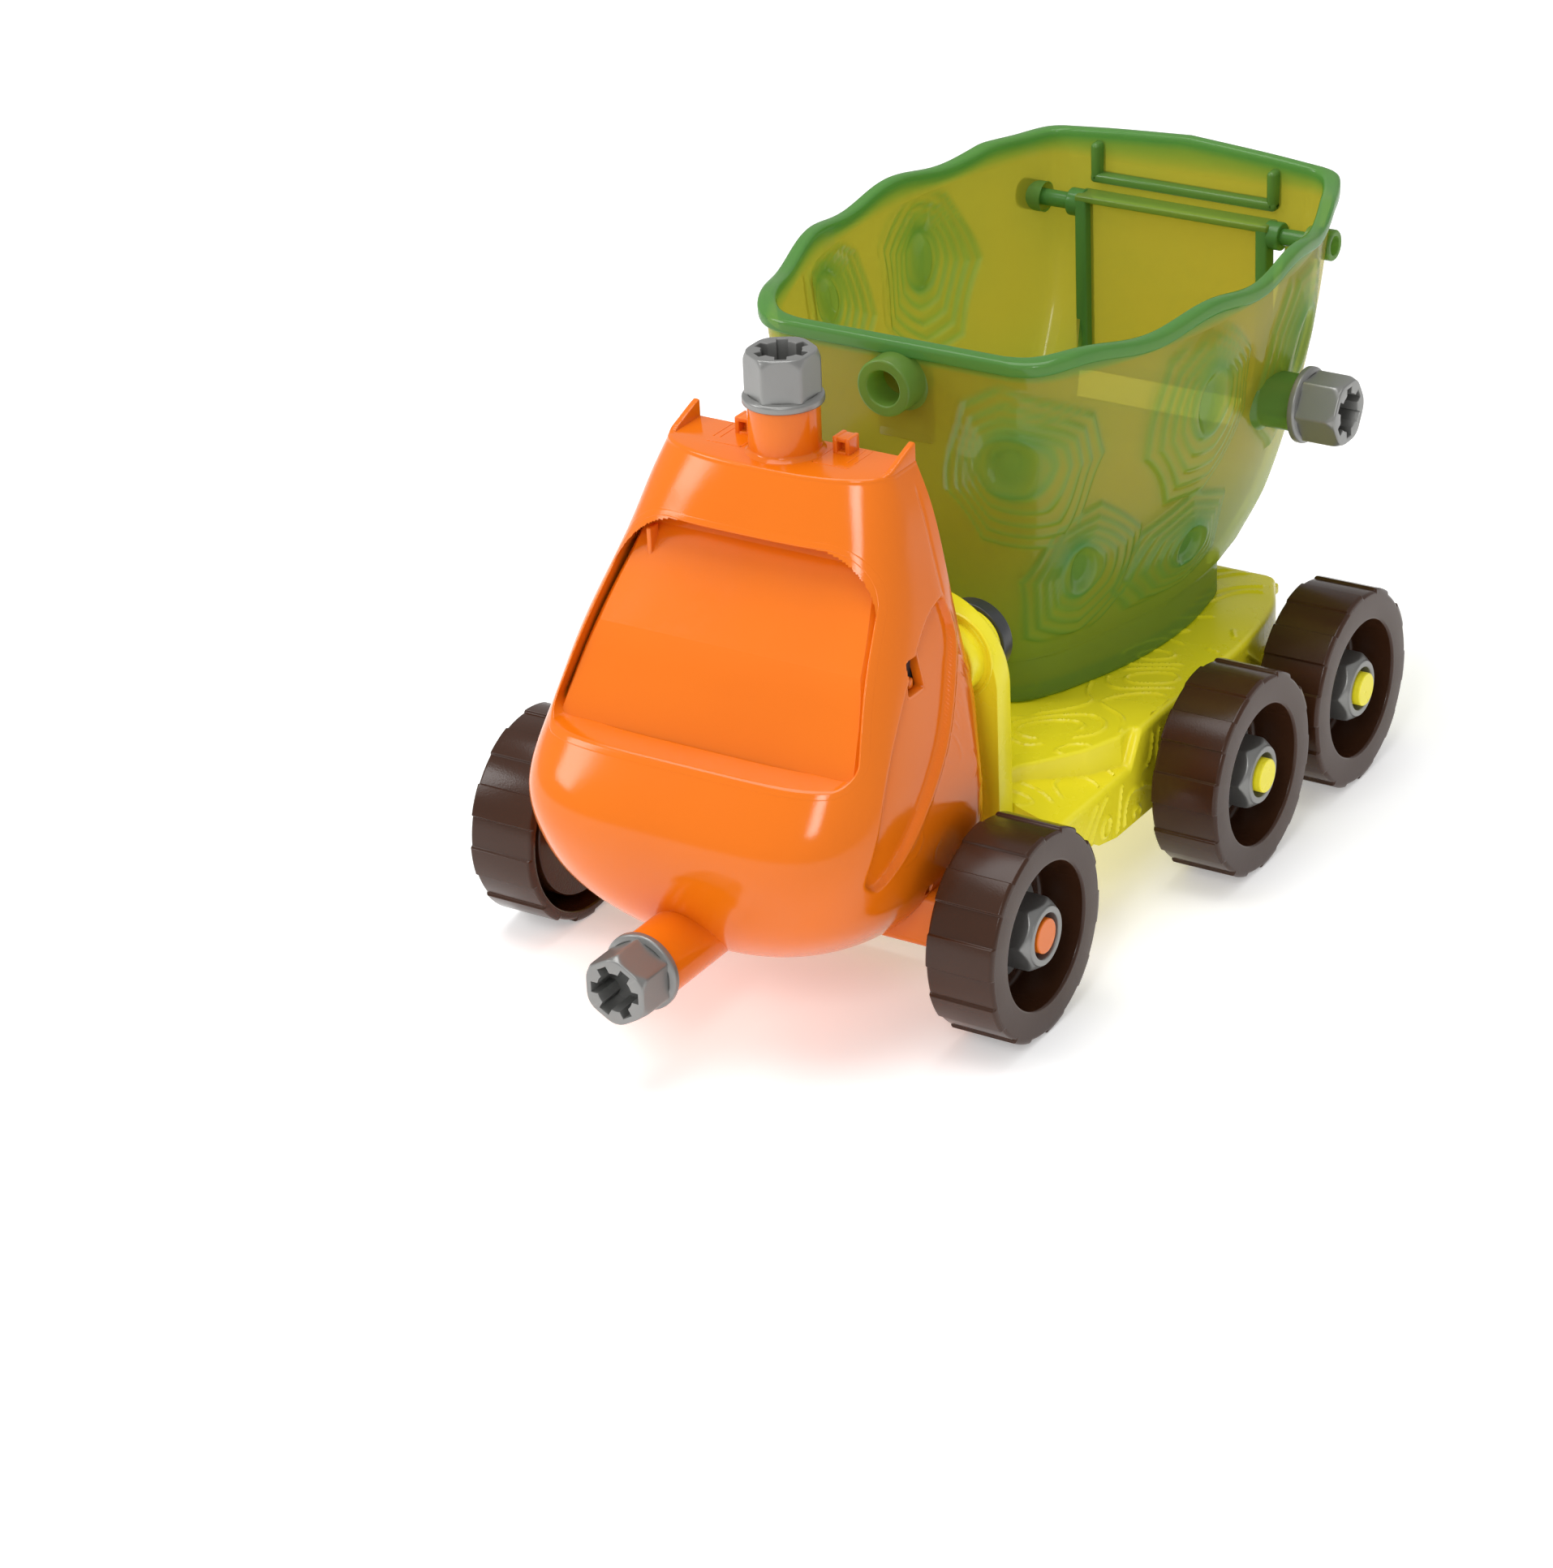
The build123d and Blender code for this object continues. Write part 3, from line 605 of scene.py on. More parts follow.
def hexagon(height, cone_top, slope=0.55, crisp=44):
    """Radius of a hexagonal head with turned-down corners, at an angle and a height."""
    flats = np.arange(6) * pi / 3

    def radius(turn, z):
        facing = np.maximum(np.cos(turn[None, :, None] - flats[None, None]), 0) / (HEX_AF / 2)
        cone = 1 / (cone_top + slope * (height - z))
        total = (facing ** crisp).sum(-1) + cone[:, None] ** crisp
        return total ** (-1 / crisp)
    return radius


def socket_outline(turn):
    """Round socket with six square notches."""
    off = np.abs((turn + pi / 6) % (pi / 3) - pi / 6)
    side = NOTCH_HALF / np.maximum(np.sin(off), 1e-6)
    end = NOTCH_R / np.cos(off)
    return np.maximum(SOCKET_R, np.minimum(side, end))


def head_angles():
    """Angles dense enough at the hexagon's corners and the socket's notches."""
    notch = np.degrees([np.arctan(NOTCH_HALF / NOTCH_R), np.arcsin(NOTCH_HALF / SOCKET_R)])
    near = [s * n + d for n in notch for s in (1, -1) for d in (-0.5, 0.5)]
    one = np.unique(np.round(np.concatenate([np.arange(-30, 30, 1.5), near]), 3))
    return np.radians(np.concatenate([60 * k + one for k in range(6)]))


def level_ring(radii, turn, z):
    """Points at the angles in turn, at one height."""
    return np.stack([radii * np.cos(turn), radii * np.sin(turn), np.full_like(turn, z)], axis=-1)


def hex_rings(turn, radius, low, height, edge, bends):
    """Rings up a hexagonal head and over its rounded top edge."""
    heights = np.concatenate([np.linspace(low, height - 4, 10), np.linspace(height - 3.7, height - edge, 12)])
    sides = radius(turn, heights)
    rings = [level_ring(r, turn, z) for r, z in zip(sides, heights)]
    for bend in np.radians(bends):
        drawn_in = edge * (1 - np.cos(bend))
        rings.append(level_ring(sides[-1] - drawn_in, turn, height - edge + edge * sin(bend)))
    return rings


def socket_rings(turn, top, steps):
    """Rings down into the drive socket; steps is (widening, depth) pairs."""
    hole = socket_outline(turn)
    return [level_ring(hole + grow, turn, top - deep) for grow, deep in steps]


def bolt_skin():
    """Large toy bolt: flange underside on z = 0, head up, shank down with one thread groove."""
    turn = head_angles()
    flange = [(SHANK_R, 0), (BOLT_FLANGE_R, 0), (BOLT_FLANGE_R, 2.5), (11.2, 3.1)]
    rings = [level_ring(r, turn, z) for r, z in softened(flange, (0, 0.6, 1.0, 0))]
    rings += hex_rings(turn, hexagon(BOLT_HEAD, 10.9), 2.9, BOLT_HEAD, 0.6, (20, 45, 70, 90))
    rings += socket_rings(turn, BOLT_HEAD, ((0.45, 0.0), (0.15, 0.1), (0.0, 0.45), (-0.1, 10.0)))
    made = Skin().grid(np.array(rings), wrap=True, caps=(-1,))
    groove_z = 6.0 - SHANK_L
    core_r = SHANK_R - 1
    shank = [(0.01, -SHANK_L), (SHANK_R, -SHANK_L), (SHANK_R, groove_z - 0.8), (core_r, groove_z - 0.8),
             (core_r, groove_z + 0.8), (SHANK_R, groove_z + 0.8), (SHANK_R, 0.2)]
    return made.join(lathe(softened(shank, (0, 0.8, 0.2, 0.2, 0.2, 0.2, 0)), 64))


def cab_screw_skin():
    """Flat-headed screw: head underside on z = 0."""
    turn = head_angles()
    head_t = 6.0
    edge = [(SHANK_R, 0), (BOLT_FLANGE_R, 0), (BOLT_FLANGE_R, head_t), (9.6, head_t)]
    rings = [level_ring(r, turn, z) for r, z in softened(edge, (0, 0.4, 1.2, 0))]
    rings += socket_rings(turn, head_t, ((0.35, 0.0), (0.1, 0.1), (0.0, 0.4), (0.0, 4.0)))
    made = Skin().grid(np.array(rings), wrap=True, caps=(-1,))
    shank = [(0.01, -SHANK_L), (SHANK_R, -SHANK_L), (SHANK_R, 0.2)]
    return made.join(lathe(softened(shank, (0, 0.8, 0)), 64))


def nut_skin():
    """Wheel nut: flange underside on z = 0, hexagon and open face upwards."""
    turn = head_angles()
    length = CUP_DEPTH - 0.05
    flange = [(NUT_BORE_R, 0), (NUT_FLANGE_R, 0), (NUT_FLANGE_R, 2.0), (12.6, 2.3)]
    mouth = [(8.5, length), (7.6, length), (6.9, length - 5.6), (NUT_BORE_R, length - 6.0), (NUT_BORE_R, 0.0)]
    rings = [level_ring(r, turn, z) for r, z in softened(flange, (0, 0.4, 0.9, 0))]
    rings += hex_rings(turn, hexagon(length, 9.4, 0.9), 2.2, length, 0.5, (25, 50, 75, 90))
    rings += [level_ring(r, turn, z) for r, z in softened(mouth, (0, 0.7, 0.6, 0.3, 0))]
    return Skin().grid(np.array(rings), wrap=True)


def seat(x, y, z, along):
    """4x4 that stands a +z piece on a point, facing an axis named like '+x'."""
    turns = {"+x": ("Y", 90), "-x": ("Y", -90), "-y": ("X", 90), "+y": ("X", -90), "+z": (None, 0)}
    return place(x, y, z, *turns[along])


def build_fasteners():
    """Three hex bolts, two flat-headed screws and six wheel nuts, each on its own body."""
    bolt = bolt_skin()
    seats = {
        "roof_bolt": (0, ROOF_TUBE_Y, ROOF_TUBE_TOP_Z, "+z"),
        "bumper_bolt": (0, BUMPER_END_Y, BUMPER_Z, "-y"),
        "side_bolt": (*SIDE_BOLT, "+x"),
    }
    for node, where in seats.items():
        bolt.moved(seat(*where)).piece(node + "_look", silver, node, [node])
    # the cab screws are given the grey-black plastic as painted shade for the shadow they sit in
    screw = cab_screw_skin()
    for tag, side in SIDES:
        node = "cab_bolt_" + tag
        stand = seat(side * CAB_BOLT_X, BULKHEAD_BACK_Y + CAB_BOLT_BOSS, CAB_BOLT_Z, "+y")
        screw.moved(stand).piece(node + "_look", painted_shade, node, [node])
    nut = nut_skin()
    for axle, y in AXLES_Y.items():
        for tag, side in SIDES:
            node = "nut_" + axle + "_" + tag
            stand = seat(side * (FACE_X[axle] - CUP_DEPTH + 0.05), y, AXLE_Z, "+x" if side > 0 else "-x")
            nut.moved(stand).piece(node + "_look", silver, node, [node])


# ---------------------------------------------------------------- wheels

def tread_angles():
    """Angles bunched at both edges of each tread block."""
    pad = 180.0 / TREAD_BLOCKS
    fine = np.array([-0.9, -0.5, -0.2, 0.0, 0.2, 0.5, 0.9])
    coarse = np.linspace(0, pad, 9)[1:-1]
    one = np.concatenate([fine, coarse])
    return np.radians(np.sort(np.concatenate([k * pad + one for k in range(2 * TREAD_BLOCKS)]) % 360))


def wheel_skin():
    """Wheel with its outer face on z = 0 and the rest below: tread ring, cup, web and drum."""
    low = WHEEL_R - TREAD_STEP
    pad = pi / TREAD_BLOCKS
    tyre_r, drum_r, face_t = 31.0, 26.2, 3.2
    outline = [
        (JOURNAL_R, -CUP_DEPTH), (CUP_R - 0.6, -CUP_DEPTH), (CUP_R, 0), (low, 0), (low, -WHEEL_W),
        (tyre_r, -WHEEL_W), (tyre_r, -face_t), (drum_r, -face_t), (drum_r, -CUP_DEPTH - HUB_WEB),
        (JOURNAL_R, -CUP_DEPTH - HUB_WEB), (JOURNAL_R, -CUP_DEPTH - 0.1),
    ]
    rounding = (0, 1.6, 1.0, 1.3, 1.3, 0.8, 0.8, 0.8, 0.8, 0.3, 0)
    profile = softened(outline, rounding, steps=6)

    def with_tread(radii, turn):
        phase = turn % (2 * pad)
        edge = radians(0.42)
        raised = ease((phase + edge) / (2 * edge)) * ease((pad + edge - phase) / (2 * edge))
        raised = np.maximum(raised, ease((phase - 2 * pad + edge) / (2 * edge)))
        share = ease((radii - (low - 1.4)) / 1.3)
        return radii + share * raised * TREAD_STEP
    return lathe(profile, tread_angles(), with_tread)


def build_wheels():
    wheel = wheel_skin()
    for axle, y in AXLES_Y.items():
        for tag, side in SIDES:
            node = "wheel_" + axle + "_" + tag
            stand = seat(side * FACE_X[axle], y, AXLE_Z, "+x" if side > 0 else "-x")
            wheel.moved(stand).piece(node + "_look", brown, node, [node])


# ---------------------------------------------------------------- cab

def cab_plan(z):
    """Half width, nose y, corner exponent and rear half width at heights z."""
    return natural_spline(CAB_STATIONS[:, 0], CAB_STATIONS[:, 1:], z).T


def cab_section(z, inset, columns):
    """One level cut of the cab from its rear left edge round the nose to its rear right edge."""
    half_w, nose_y, exponent, rear_w = cab_plan(np.array([z]))[:, 0]
    half_w, rear_w = half_w - inset, rear_w - inset
    depth = CAB_WIDEST_Y - nose_y - inset
    turn = np.linspace(0, pi, 1600)
    c, s = np.cos(turn), np.sin(turn)
    reach = ((np.abs(c) / half_w) ** exponent + (np.abs(s) / depth) ** exponent) ** (-1 / exponent)
    nose = np.stack([reach * c, CAB_WIDEST_Y - reach * s], axis=1)
    t = np.linspace(1, 0, 60)[:-1]
    flank_y = CAB_WIDEST_Y + (CAB_REAR_Y - CAB_WIDEST_Y) * t
    flank = np.stack([half_w - (half_w - rear_w) * t ** 2, flank_y], axis=1)
    return evenly(np.vstack([flank, nose, flank[::-1] * (-1, 1)]), columns)


def front_y(x, z):
    """The cab's front surface at a place seen from ahead."""
    half_w, nose_y, exponent, _ = cab_plan(np.asarray(z, float))
    inside = np.clip(1 - np.abs(x / half_w) ** exponent, 0, 1)
    return CAB_WIDEST_Y - (CAB_WIDEST_Y - nose_y) * inside ** (1 / exponent)


def side_x(y, z):
    """The cab's left surface at a place seen from the side, before any recess."""
    half_w, nose_y, exponent, rear_w = cab_plan(np.asarray(z, float))
    ahead = np.clip((CAB_WIDEST_Y - y) / (CAB_WIDEST_Y - nose_y), 0, 1)
    behind = np.clip((y - CAB_WIDEST_Y) / (CAB_REAR_Y - CAB_WIDEST_Y), 0, 1)
    round_part = np.clip(1 - ahead ** exponent, 0, 1) ** (1 / exponent)
    return half_w * round_part - (half_w - rear_w) * behind ** 2


# the sickle recess in the cab's side: height and y of its front and rear edges
SICKLE_LOW, SICKLE_TOP = 60.5, 136.0
SICKLE_FRONT = (
    (SICKLE_LOW, -42.5), (65.7, -46.5), (73.6, -44.4), (87.3, -37.5), (104.2, -25.5), (120.4, -10.7),
    (131.9, 4.0), (SICKLE_TOP, 14.0),
)
SICKLE_REAR = (
    (SICKLE_LOW, -41.5), (68.3, -31.8), (79.5, -18.7), (97.5, 1.0), (112.7, 10.8), (126.7, 17.5),
    (SICKLE_TOP, 16.5),
)
SLOT_CENTRE = (-7.0, 119.0)
SLOT_HALF = (4.4, 5.6)
# the small catch hole low in the side
CATCH_CENTRE = (-13.0, 49.0)
CATCH_HALF = (1.6, 1.5)


def edge_place(edge, z):
    """y of a sickle edge at height z, and the cosine of its lean there."""
    y = held_line(edge, z)
    lean = (held_line(edge, z + 0.5) - y) / 0.5
    return y, 1 / np.sqrt(1 + lean ** 2)


def side_recess(y, z):
    """How far the cab's side is drawn in by the sickle, its rear ridge and the fold above it, and the
    distance ahead of the sickle's rear edge."""
    inside_z = (z > SICKLE_LOW) & (z < SICKLE_TOP)
    level = np.clip(z, SICKLE_LOW, SICKLE_TOP)
    front, front_lean = edge_place(SICKLE_FRONT, level)
    rear, rear_lean = edge_place(SICKLE_REAR, level)
    from_front = (y - front) * front_lean
    from_rear = (rear - y) * rear_lean
    deep = 2.3 * ease((from_front + 0.4) / 2.6) * ease((from_rear + 0.3) / 1.1)
    deep *= ease((z - SICKLE_LOW) / 3.0) * ease((SICKLE_TOP - z) / 2.5)
    ridge = 0.35 * np.exp(-((from_rear + 1.0) / 0.9) ** 2) * ease((z - 60) / 10) * ease((134 - z) / 10)
    fold = 0.4 * np.exp(-((y - 17.5 - (z - 137) * 0.06) / 0.7) ** 2)
    fold *= ease((z - 134) / 4) * ease((171 - z) / 6)
    return np.where(inside_z, deep - ridge, 0.0) + fold, np.where(inside_z, from_rear, -(y - 17.0))


def window_outline():
    """Windscreen opening seen from ahead as (x, z), with the direction out of it at each point."""
    (low_w, low_z, low_r), (top_w, top_z, top_r) = WINDOW
    corners = [(-low_w, low_z), (low_w, low_z), (top_w, top_z), (-top_w, top_z)]
    dense = []
    ring = softened(corners, (low_r, low_r, top_r, top_r), 10, closed=True)
    for a, b in zip(ring, np.roll(ring, -1, axis=0)):
        count = max(1, ceil(np.linalg.norm(b - a) / 1.2))
        dense += [a + (b - a) * k / count for k in range(count)]
    ring = np.array(dense)
    return ring, outward(ring)


def inside_window(x, z, grow):
    """True inside the windscreen outline widened by grow."""
    (low_w, low_z, low_r), (top_w, top_z, top_r) = WINDOW
    share = (z - low_z) / (top_z - low_z)
    lean = np.hypot(1, (low_w - top_w) / (top_z - low_z))
    from_side = (low_w + (top_w - low_w) * share - np.abs(x)) / lean
    from_end = np.minimum(z - low_z, top_z - z)
    radius = np.where(share > 0.5, top_r, low_r)
    corner = np.hypot(np.maximum(radius - from_side, 0), np.maximum(radius - from_end, 0)) <= radius + grow
    return corner & (from_side > -grow) & (from_end > -grow)


def in_patch(mid, centre, reach_y, reach_z):
    """True where a point of the cab lies within a rectangle seen from the side."""
    return (np.abs(mid[..., 1] - centre[0]) < reach_y) & (np.abs(mid[..., 2] - centre[1]) < reach_z)


def cab_skin():
    """Outer and inner sheets of the cab with its windscreen hole, recesses and roof."""
    columns = 430
    edge_r = 1.3
    low, high = CAB_STATIONS[0, 0], ROOF_Z
    heights = np.concatenate([np.linspace(low, 34, 42)[:-1], np.linspace(34, high - edge_r, 236)])
    outer = np.array([level_row(cab_section(z, 0, columns), z) for z in heights])
    x, y, z = outer[..., 0], outer[..., 1], outer[..., 2]
    drawn_in, behind = side_recess(y, z)
    sideways = ease((np.abs(x) - 30) / 8)
    grain = grain_lines(y, z, 11, 8.0, 1.3, 0.5) * ease((-behind - 1.5) / 2)
    grain *= ease((z - 40) / 8) * ease((128 - z) / 10)
    outer[..., 0] -= np.sign(x) * sideways * (drawn_in - 0.22 * grain * (y < 23))
    crown = []
    for bend in np.radians((18, 36, 54, 72, 90)):
        height = high - edge_r + edge_r * sin(bend)
        rim = cab_section(high - edge_r, edge_r * (1 - cos(bend)), columns)
        rim[:, 1] = np.minimum(rim[:, 1], CAB_REAR_Y)
        crown.append(level_row(rim, height))
    outer = np.concatenate([outer, np.array(crown)])
    mid = (outer[:-1, :-1] + outer[1:, 1:]) / 2
    glass = inside_window(mid[..., 0], mid[..., 2], 0.5) & (mid[..., 1] < 0)
    slot = in_patch(mid, SLOT_CENTRE, SLOT_HALF[0] + 0.5, SLOT_HALF[1] + 0.5)
    catch = in_patch(mid, CATCH_CENTRE, 2.2, 2.0)
    made = Skin().grid(outer, keep=~(glass | slot | catch), caps=(0, -1))
    inner_heights = np.linspace(low + CAB_WALL, high - CAB_WALL, 90)
    inner = np.array([level_row(cab_section(z, CAB_WALL, 150), z) for z in inner_heights])
    mid = (inner[:-1, :-1] + inner[1:, 1:]) / 2
    glass = inside_window(mid[..., 0], mid[..., 2], 1.0) & (mid[..., 1] < 0)
    slot = in_patch(mid, SLOT_CENTRE, SLOT_HALF[0] + 1.0, SLOT_HALF[1] + 1.0)
    made.grid(inner, flip=True, keep=~(glass | slot))
    for end in (0, -1):
        made.grid(rear_rim(outer[:, end], inner[:, end]), flip=end == 0)
    return made


def rear_rim(outside, inside):
    """Flat band closing the cab wall along its rear edge."""
    reach = np.linspace(0, 1, len(outside))
    walk = np.linspace(0, 1, len(inside))
    inside = np.stack([np.interp(reach, walk, column) for column in inside.T], axis=1)
    return np.stack([outside, inside])


def around(outline, out, profile, lay):
    """A frame swept round an outline; profile is (outward, inward) steps and lay puts them on the surface."""
    rows = [lay(outline + out * reach, deep) for reach, deep in profile]
    return Skin().grid(np.array(rows), wrap=True)


def window_frame():
    """Rolled lip of the windscreen with its return into the cab."""
    outline, out = window_outline()
    steps = [(2.6, 0.14), (2.1, -0.10), (0.55, -0.14), (0.0, 0.5), (0.0, 12.0), (2.2, 12.4), (2.2, 2.4)]
    profile = softened(steps, (0, 0.5, 0.5, 0.6, 0.5, 0.5, 0), steps=4)

    def lay(flat, deep):
        return np.column_stack([flat[:, 0], front_y(flat[:, 0], flat[:, 1]) + deep, flat[:, 1]])
    return around(outline, out, profile, lay)


def side_window(centre, half, radius, lip, depth):
    """Framed opening in the cab's left side: a lip, then walls going in."""
    quarters = ((-1, -1), (1, -1), (1, 1), (-1, 1))
    corners = [(centre[0] + a * half[0], centre[1] + b * half[1]) for a, b in quarters]
    ring = softened(corners, (radius,) * 4, 6, closed=True)
    profile = [(lip, 0.1), (lip - 0.2, -0.04), (0.15, -0.05), (0.0, 0.15), (0.0, depth)]

    def lay(flat, deep):
        surface = side_x(flat[:, 0], flat[:, 1]) - side_recess(flat[:, 0], flat[:, 1])[0]
        return np.column_stack([surface - deep, flat[:, 0], flat[:, 1]])
    return around(ring, outward(ring), profile, lay)


def roof_details():
    """Corner fins, snap ears with their seam lines, and the roof and bumper tubes."""
    made = Skin()
    fin_wall = 2.4
    edge = cab_section(ROOF_Z - 0.4, 0, 430)
    half = edge[(edge[:, 0] > 0) & (edge[:, 1] > 1.0)]
    t = (half[:, 1] - 1.0) / (CAB_REAR_Y - 1.0)
    top = ROOF_Z - 0.8 + 6.4 * ease(t * 0.75) / ease(0.75)
    profile = (
        (0.0, -2.0), (0.0, -0.5), (0.25, -0.12), (0.7, 0.0),
        (fin_wall - 0.7, 0.0), (fin_wall - 0.2, -0.15), (fin_wall, -0.6), (fin_wall, -8.0),
    )
    lean_in = cab_section(ROOF_Z - 0.4, fin_wall, 430)
    lean_in = lean_in[(lean_in[:, 0] > 0)]
    inner = np.array([lean_in[np.argmin(np.linalg.norm(lean_in - p, axis=1))] for p in half])
    inwards = (inner - half) / fin_wall
    rows = [np.column_stack([half + inwards * reach, top + drop]) for reach, drop in profile]
    rows[0][:, 2] = ROOF_Z - 2.0
    fin = Skin().grid(np.array(rows), caps=())
    end = np.array([row[0] for row in rows])
    fin.add(end, [np.arange(len(end))[None, :]])
    ear = blocks((
        (15, 16.6, 17, 23.5, 175, 181.5, 0.4), (19.4, 21, 17.1, 23.4, 175, 181.4, 0.4),
        (16.2, 19.8, 20.2, 23.2, 175, 181.2, 0.3), (16.2, 19.8, 17.2, 23.0, 179.8, 181.3, 0.3),
        (16.2, 19.8, 17.3, 23.0, 175, 176.6, 0.3),
    ))
    seam_lines = ((13, 13.4, 8, 23.4), (23, 23.4, 12, 23.4), (25.5, 25.9, 12, 23.4), (13, 25.9, 8, 8.4))
    seams = blocks([(*line, ROOF_Z - 0.5, ROOF_Z + 0.12, 0.05) for line in seam_lines])
    made.join(fin).join(ear).join(seams)
    made.both_sides()
    tall = ROOF_TUBE_TOP_Z - ROOF_Z
    tube = [(BOSS_R + 1.4, 0), (BOSS_R, 1.2), (BOSS_R, tall), (BORE_R, tall), (BORE_R, -4)]
    made.join(lathe(softened(tube, (0, 1.2, 0.6, 0.4, 0)), 96).moved(place(0, ROOF_TUBE_Y, ROOF_Z)))
    reach = -30.0 - BUMPER_END_Y
    tube = softened([(BOSS_R, -reach), (BOSS_R, 0), (BORE_R, 0), (BORE_R, -reach)], (0, 0.6, 0.4, 0))
    made.join(lathe(tube, 96).moved(seat(0, BUMPER_END_Y, BUMPER_Z, "-y")))
    return made


def build_cab():
    """The shell with slots, catch holes and clip, plates of painted shade in the hollows behind the slots,
    and the CAD panels.
    """
    shell = cab_skin().join(window_frame()).join(roof_details())
    pockets = side_window(SLOT_CENTRE, SLOT_HALF, 0.8, 1.0, 3.4)
    pockets.join(side_window(CATCH_CENTRE, CATCH_HALF, 0.7, 0.9, 4.0))
    tongue_x = side_x(np.array([-5.5]), np.array([118.0]))[0]
    pockets.join(block(tongue_x - 6, tongue_x - 3.6, -7.4, -4.6, 113.5, 117.0, 0.8))
    clip = blocks((
        (-38.5, -36.8, -9.5, -4.5, 139.0, 150.5, 0.5), (-38.5, -33.0, -9.5, -6.5, 138.5, 140.6, 0.5),
    ))
    shell.join(pockets.both_sides()).join(clip)
    shell.piece("cab_shell_look", orange, "truck", ["cab_shell"], sharp=42)
    # plates of painted shade filling the hollows behind the side slots
    slot_shade_plates = block(tongue_x - 7.0, tongue_x - 6.0, -13, -1, 111, 127, 0.3).both_sides()
    slot_shade_plates.piece("cab_slot_shades", painted_shade, "truck")
    for node in ("cab_liner", "cab_back", "front_axle"):
        dress(node, orange, 0.5)


def dress(node, material, soft):
    """Keeps a CAD node and gives it its material and softened moulded edges."""
    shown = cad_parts[node]
    shown.data.materials.clear()
    shown.data.materials.append(material)
    weld = shown.modifiers.new("weld", "WELD")
    weld.merge_threshold = 0.00001
    flat = shown.modifiers.new("flat", "DECIMATE")
    flat.decimate_type = "DISSOLVE"
    flat.angle_limit = radians(0.6)
    edges = shown.modifiers.new("edges", "BEVEL")
    edges.width = soft * MM
    edges.segments = 3
    edges.limit_method = "ANGLE"
    edges.angle_limit = radians(40)
    edges.harden_normals = False
    edges.use_clamp_overlap = True


# ---------------------------------------------------------------- chassis

# the step beside the raised middle: y and x; the front of the skirt's lower edge: y and z
STEP_LINE = np.array([
    (40.0, 50.0), (49.0, 50.5), (60.0, 55.0), (69.0, 61.5), (80.0, 68.5), (96.0, 74.5), (108.0, 78.0),
])
SKIRT_FOOT = np.array([(44.0, 43.6), (50.0, 43.5), (56.0, 40.0), (63.0, 34.0), (72.0, 28.5), (84.0, 26.0)])
# the deck's half width towards the tail: y and x
DECK_TAIL = np.array([(150.0, 77.0), (170.0, 77.0), (205.0, 72.5), (228.0, 62.0), (231.0, 56.0)])
# the slots the hopper's lugs stand in: x and y limits; the hopper's pin: y and z
LUG_SLOT = (33.5, 41.5, 199.0, 220.0)
PIVOT = (213.0, 52.0)
# columns of the deck's sheet, counted from its middle, at the raised middle's lip and at the outer edge
LIP_COLUMNS = (109, 116)
EDGE_COLUMNS = (154, 162)


def deck_section(y, inset):
    """Half of one cross cut of the deck as (x, z): raised middle, step, wing, rounded edge and skirt.

    inset draws the whole section in, for the hollow underneath.
    """
    if y <= DECK_ROUND_Y:
        half = held_line(DECK_TAIL[:4], np.array([y]))[0]
    else:
        half = np.interp(y, DECK_TAIL[3:, 0], DECK_TAIL[3:, 1])
    half -= inset
    past = max(y - DECK_ROUND_Y, 0.0)
    rounding = DECK_ROUND_R - np.sqrt(max(DECK_ROUND_R ** 2 - past ** 2, 0.0))
    top = DECK_Z - inset - rounding
    step_at = np.interp(y, STEP_LINE[:, 0], STEP_LINE[:, 1])
    wing_share = ease((half + inset - 0.5 - step_at) / 3.0)
    step_x = min(step_at - inset * 0.3, half - 3.4)

    def wing_z(x):
        return top - wing_share * (4.0 + (x - 51.0) * 7 / 24)
    lip, root, edge = 1.2, 1.0, 2.2
    arc = np.radians((30, 60, 90))
    root_z = wing_z(step_x + root)
    fall = min(1.0, (top - root_z) / (lip + root)) if top > root_z else 0.0
    middle = stretches((0, LUG_SLOT[0], LUG_SLOT[1], 45), (50, 12, 6))
    outwards = np.linspace(45, step_x - lip, 45)[1:]
    points = [np.column_stack([x, np.full_like(x, top)]) for x in (middle, outwards)]
    points.append(np.column_stack([step_x - lip + lip * np.sin(arc), top - fall * lip * (1 - np.cos(arc))]))
    root_x = step_x + root * (1 - np.cos(arc))
    points.append(np.column_stack([root_x, root_z + fall * root * (1 - np.sin(arc))]))
    wing = np.linspace(step_x + root, half - edge, 41)[1:]
    points.append(np.column_stack([wing, wing_z(wing)]))
    arc = np.radians((18, 36, 54, 72, 90))
    rim_z = wing_z(half - edge)
    points.append(np.column_stack([half - edge + edge * np.sin(arc), rim_z - edge * (1 - np.cos(arc))]))
    foot = min(np.interp(y, SKIRT_FOOT[:, 0], SKIRT_FOOT[:, 1]), rim_z - edge - 0.4)
    skirt = np.linspace(rim_z - edge, foot, 34)[1:]
    points.append(np.column_stack([np.full_like(skirt, half), skirt]))
    return np.vstack(points)


def deck_sheet(levels, inset):
    """Rows of the deck's surface from one skirt over the top to the other."""
    rows = []
    for y in levels:
        half = deck_section(y, inset)
        full = np.vstack([half[:0:-1] * (-1, 1), half])
        rows.append(upright_row(full, y))
    return np.array(rows)


def raised(sheet, height):
    """A sheet pushed along its own normals; columns run with +x when the sheet faces up."""
    down = np.gradient(sheet, axis=0)
    across = np.gradient(sheet, axis=1)
    normal = np.cross(across, down)
    normal /= np.maximum(np.linalg.norm(normal, axis=2), 1e-9)[..., None]
    return sheet + normal * height[..., None]


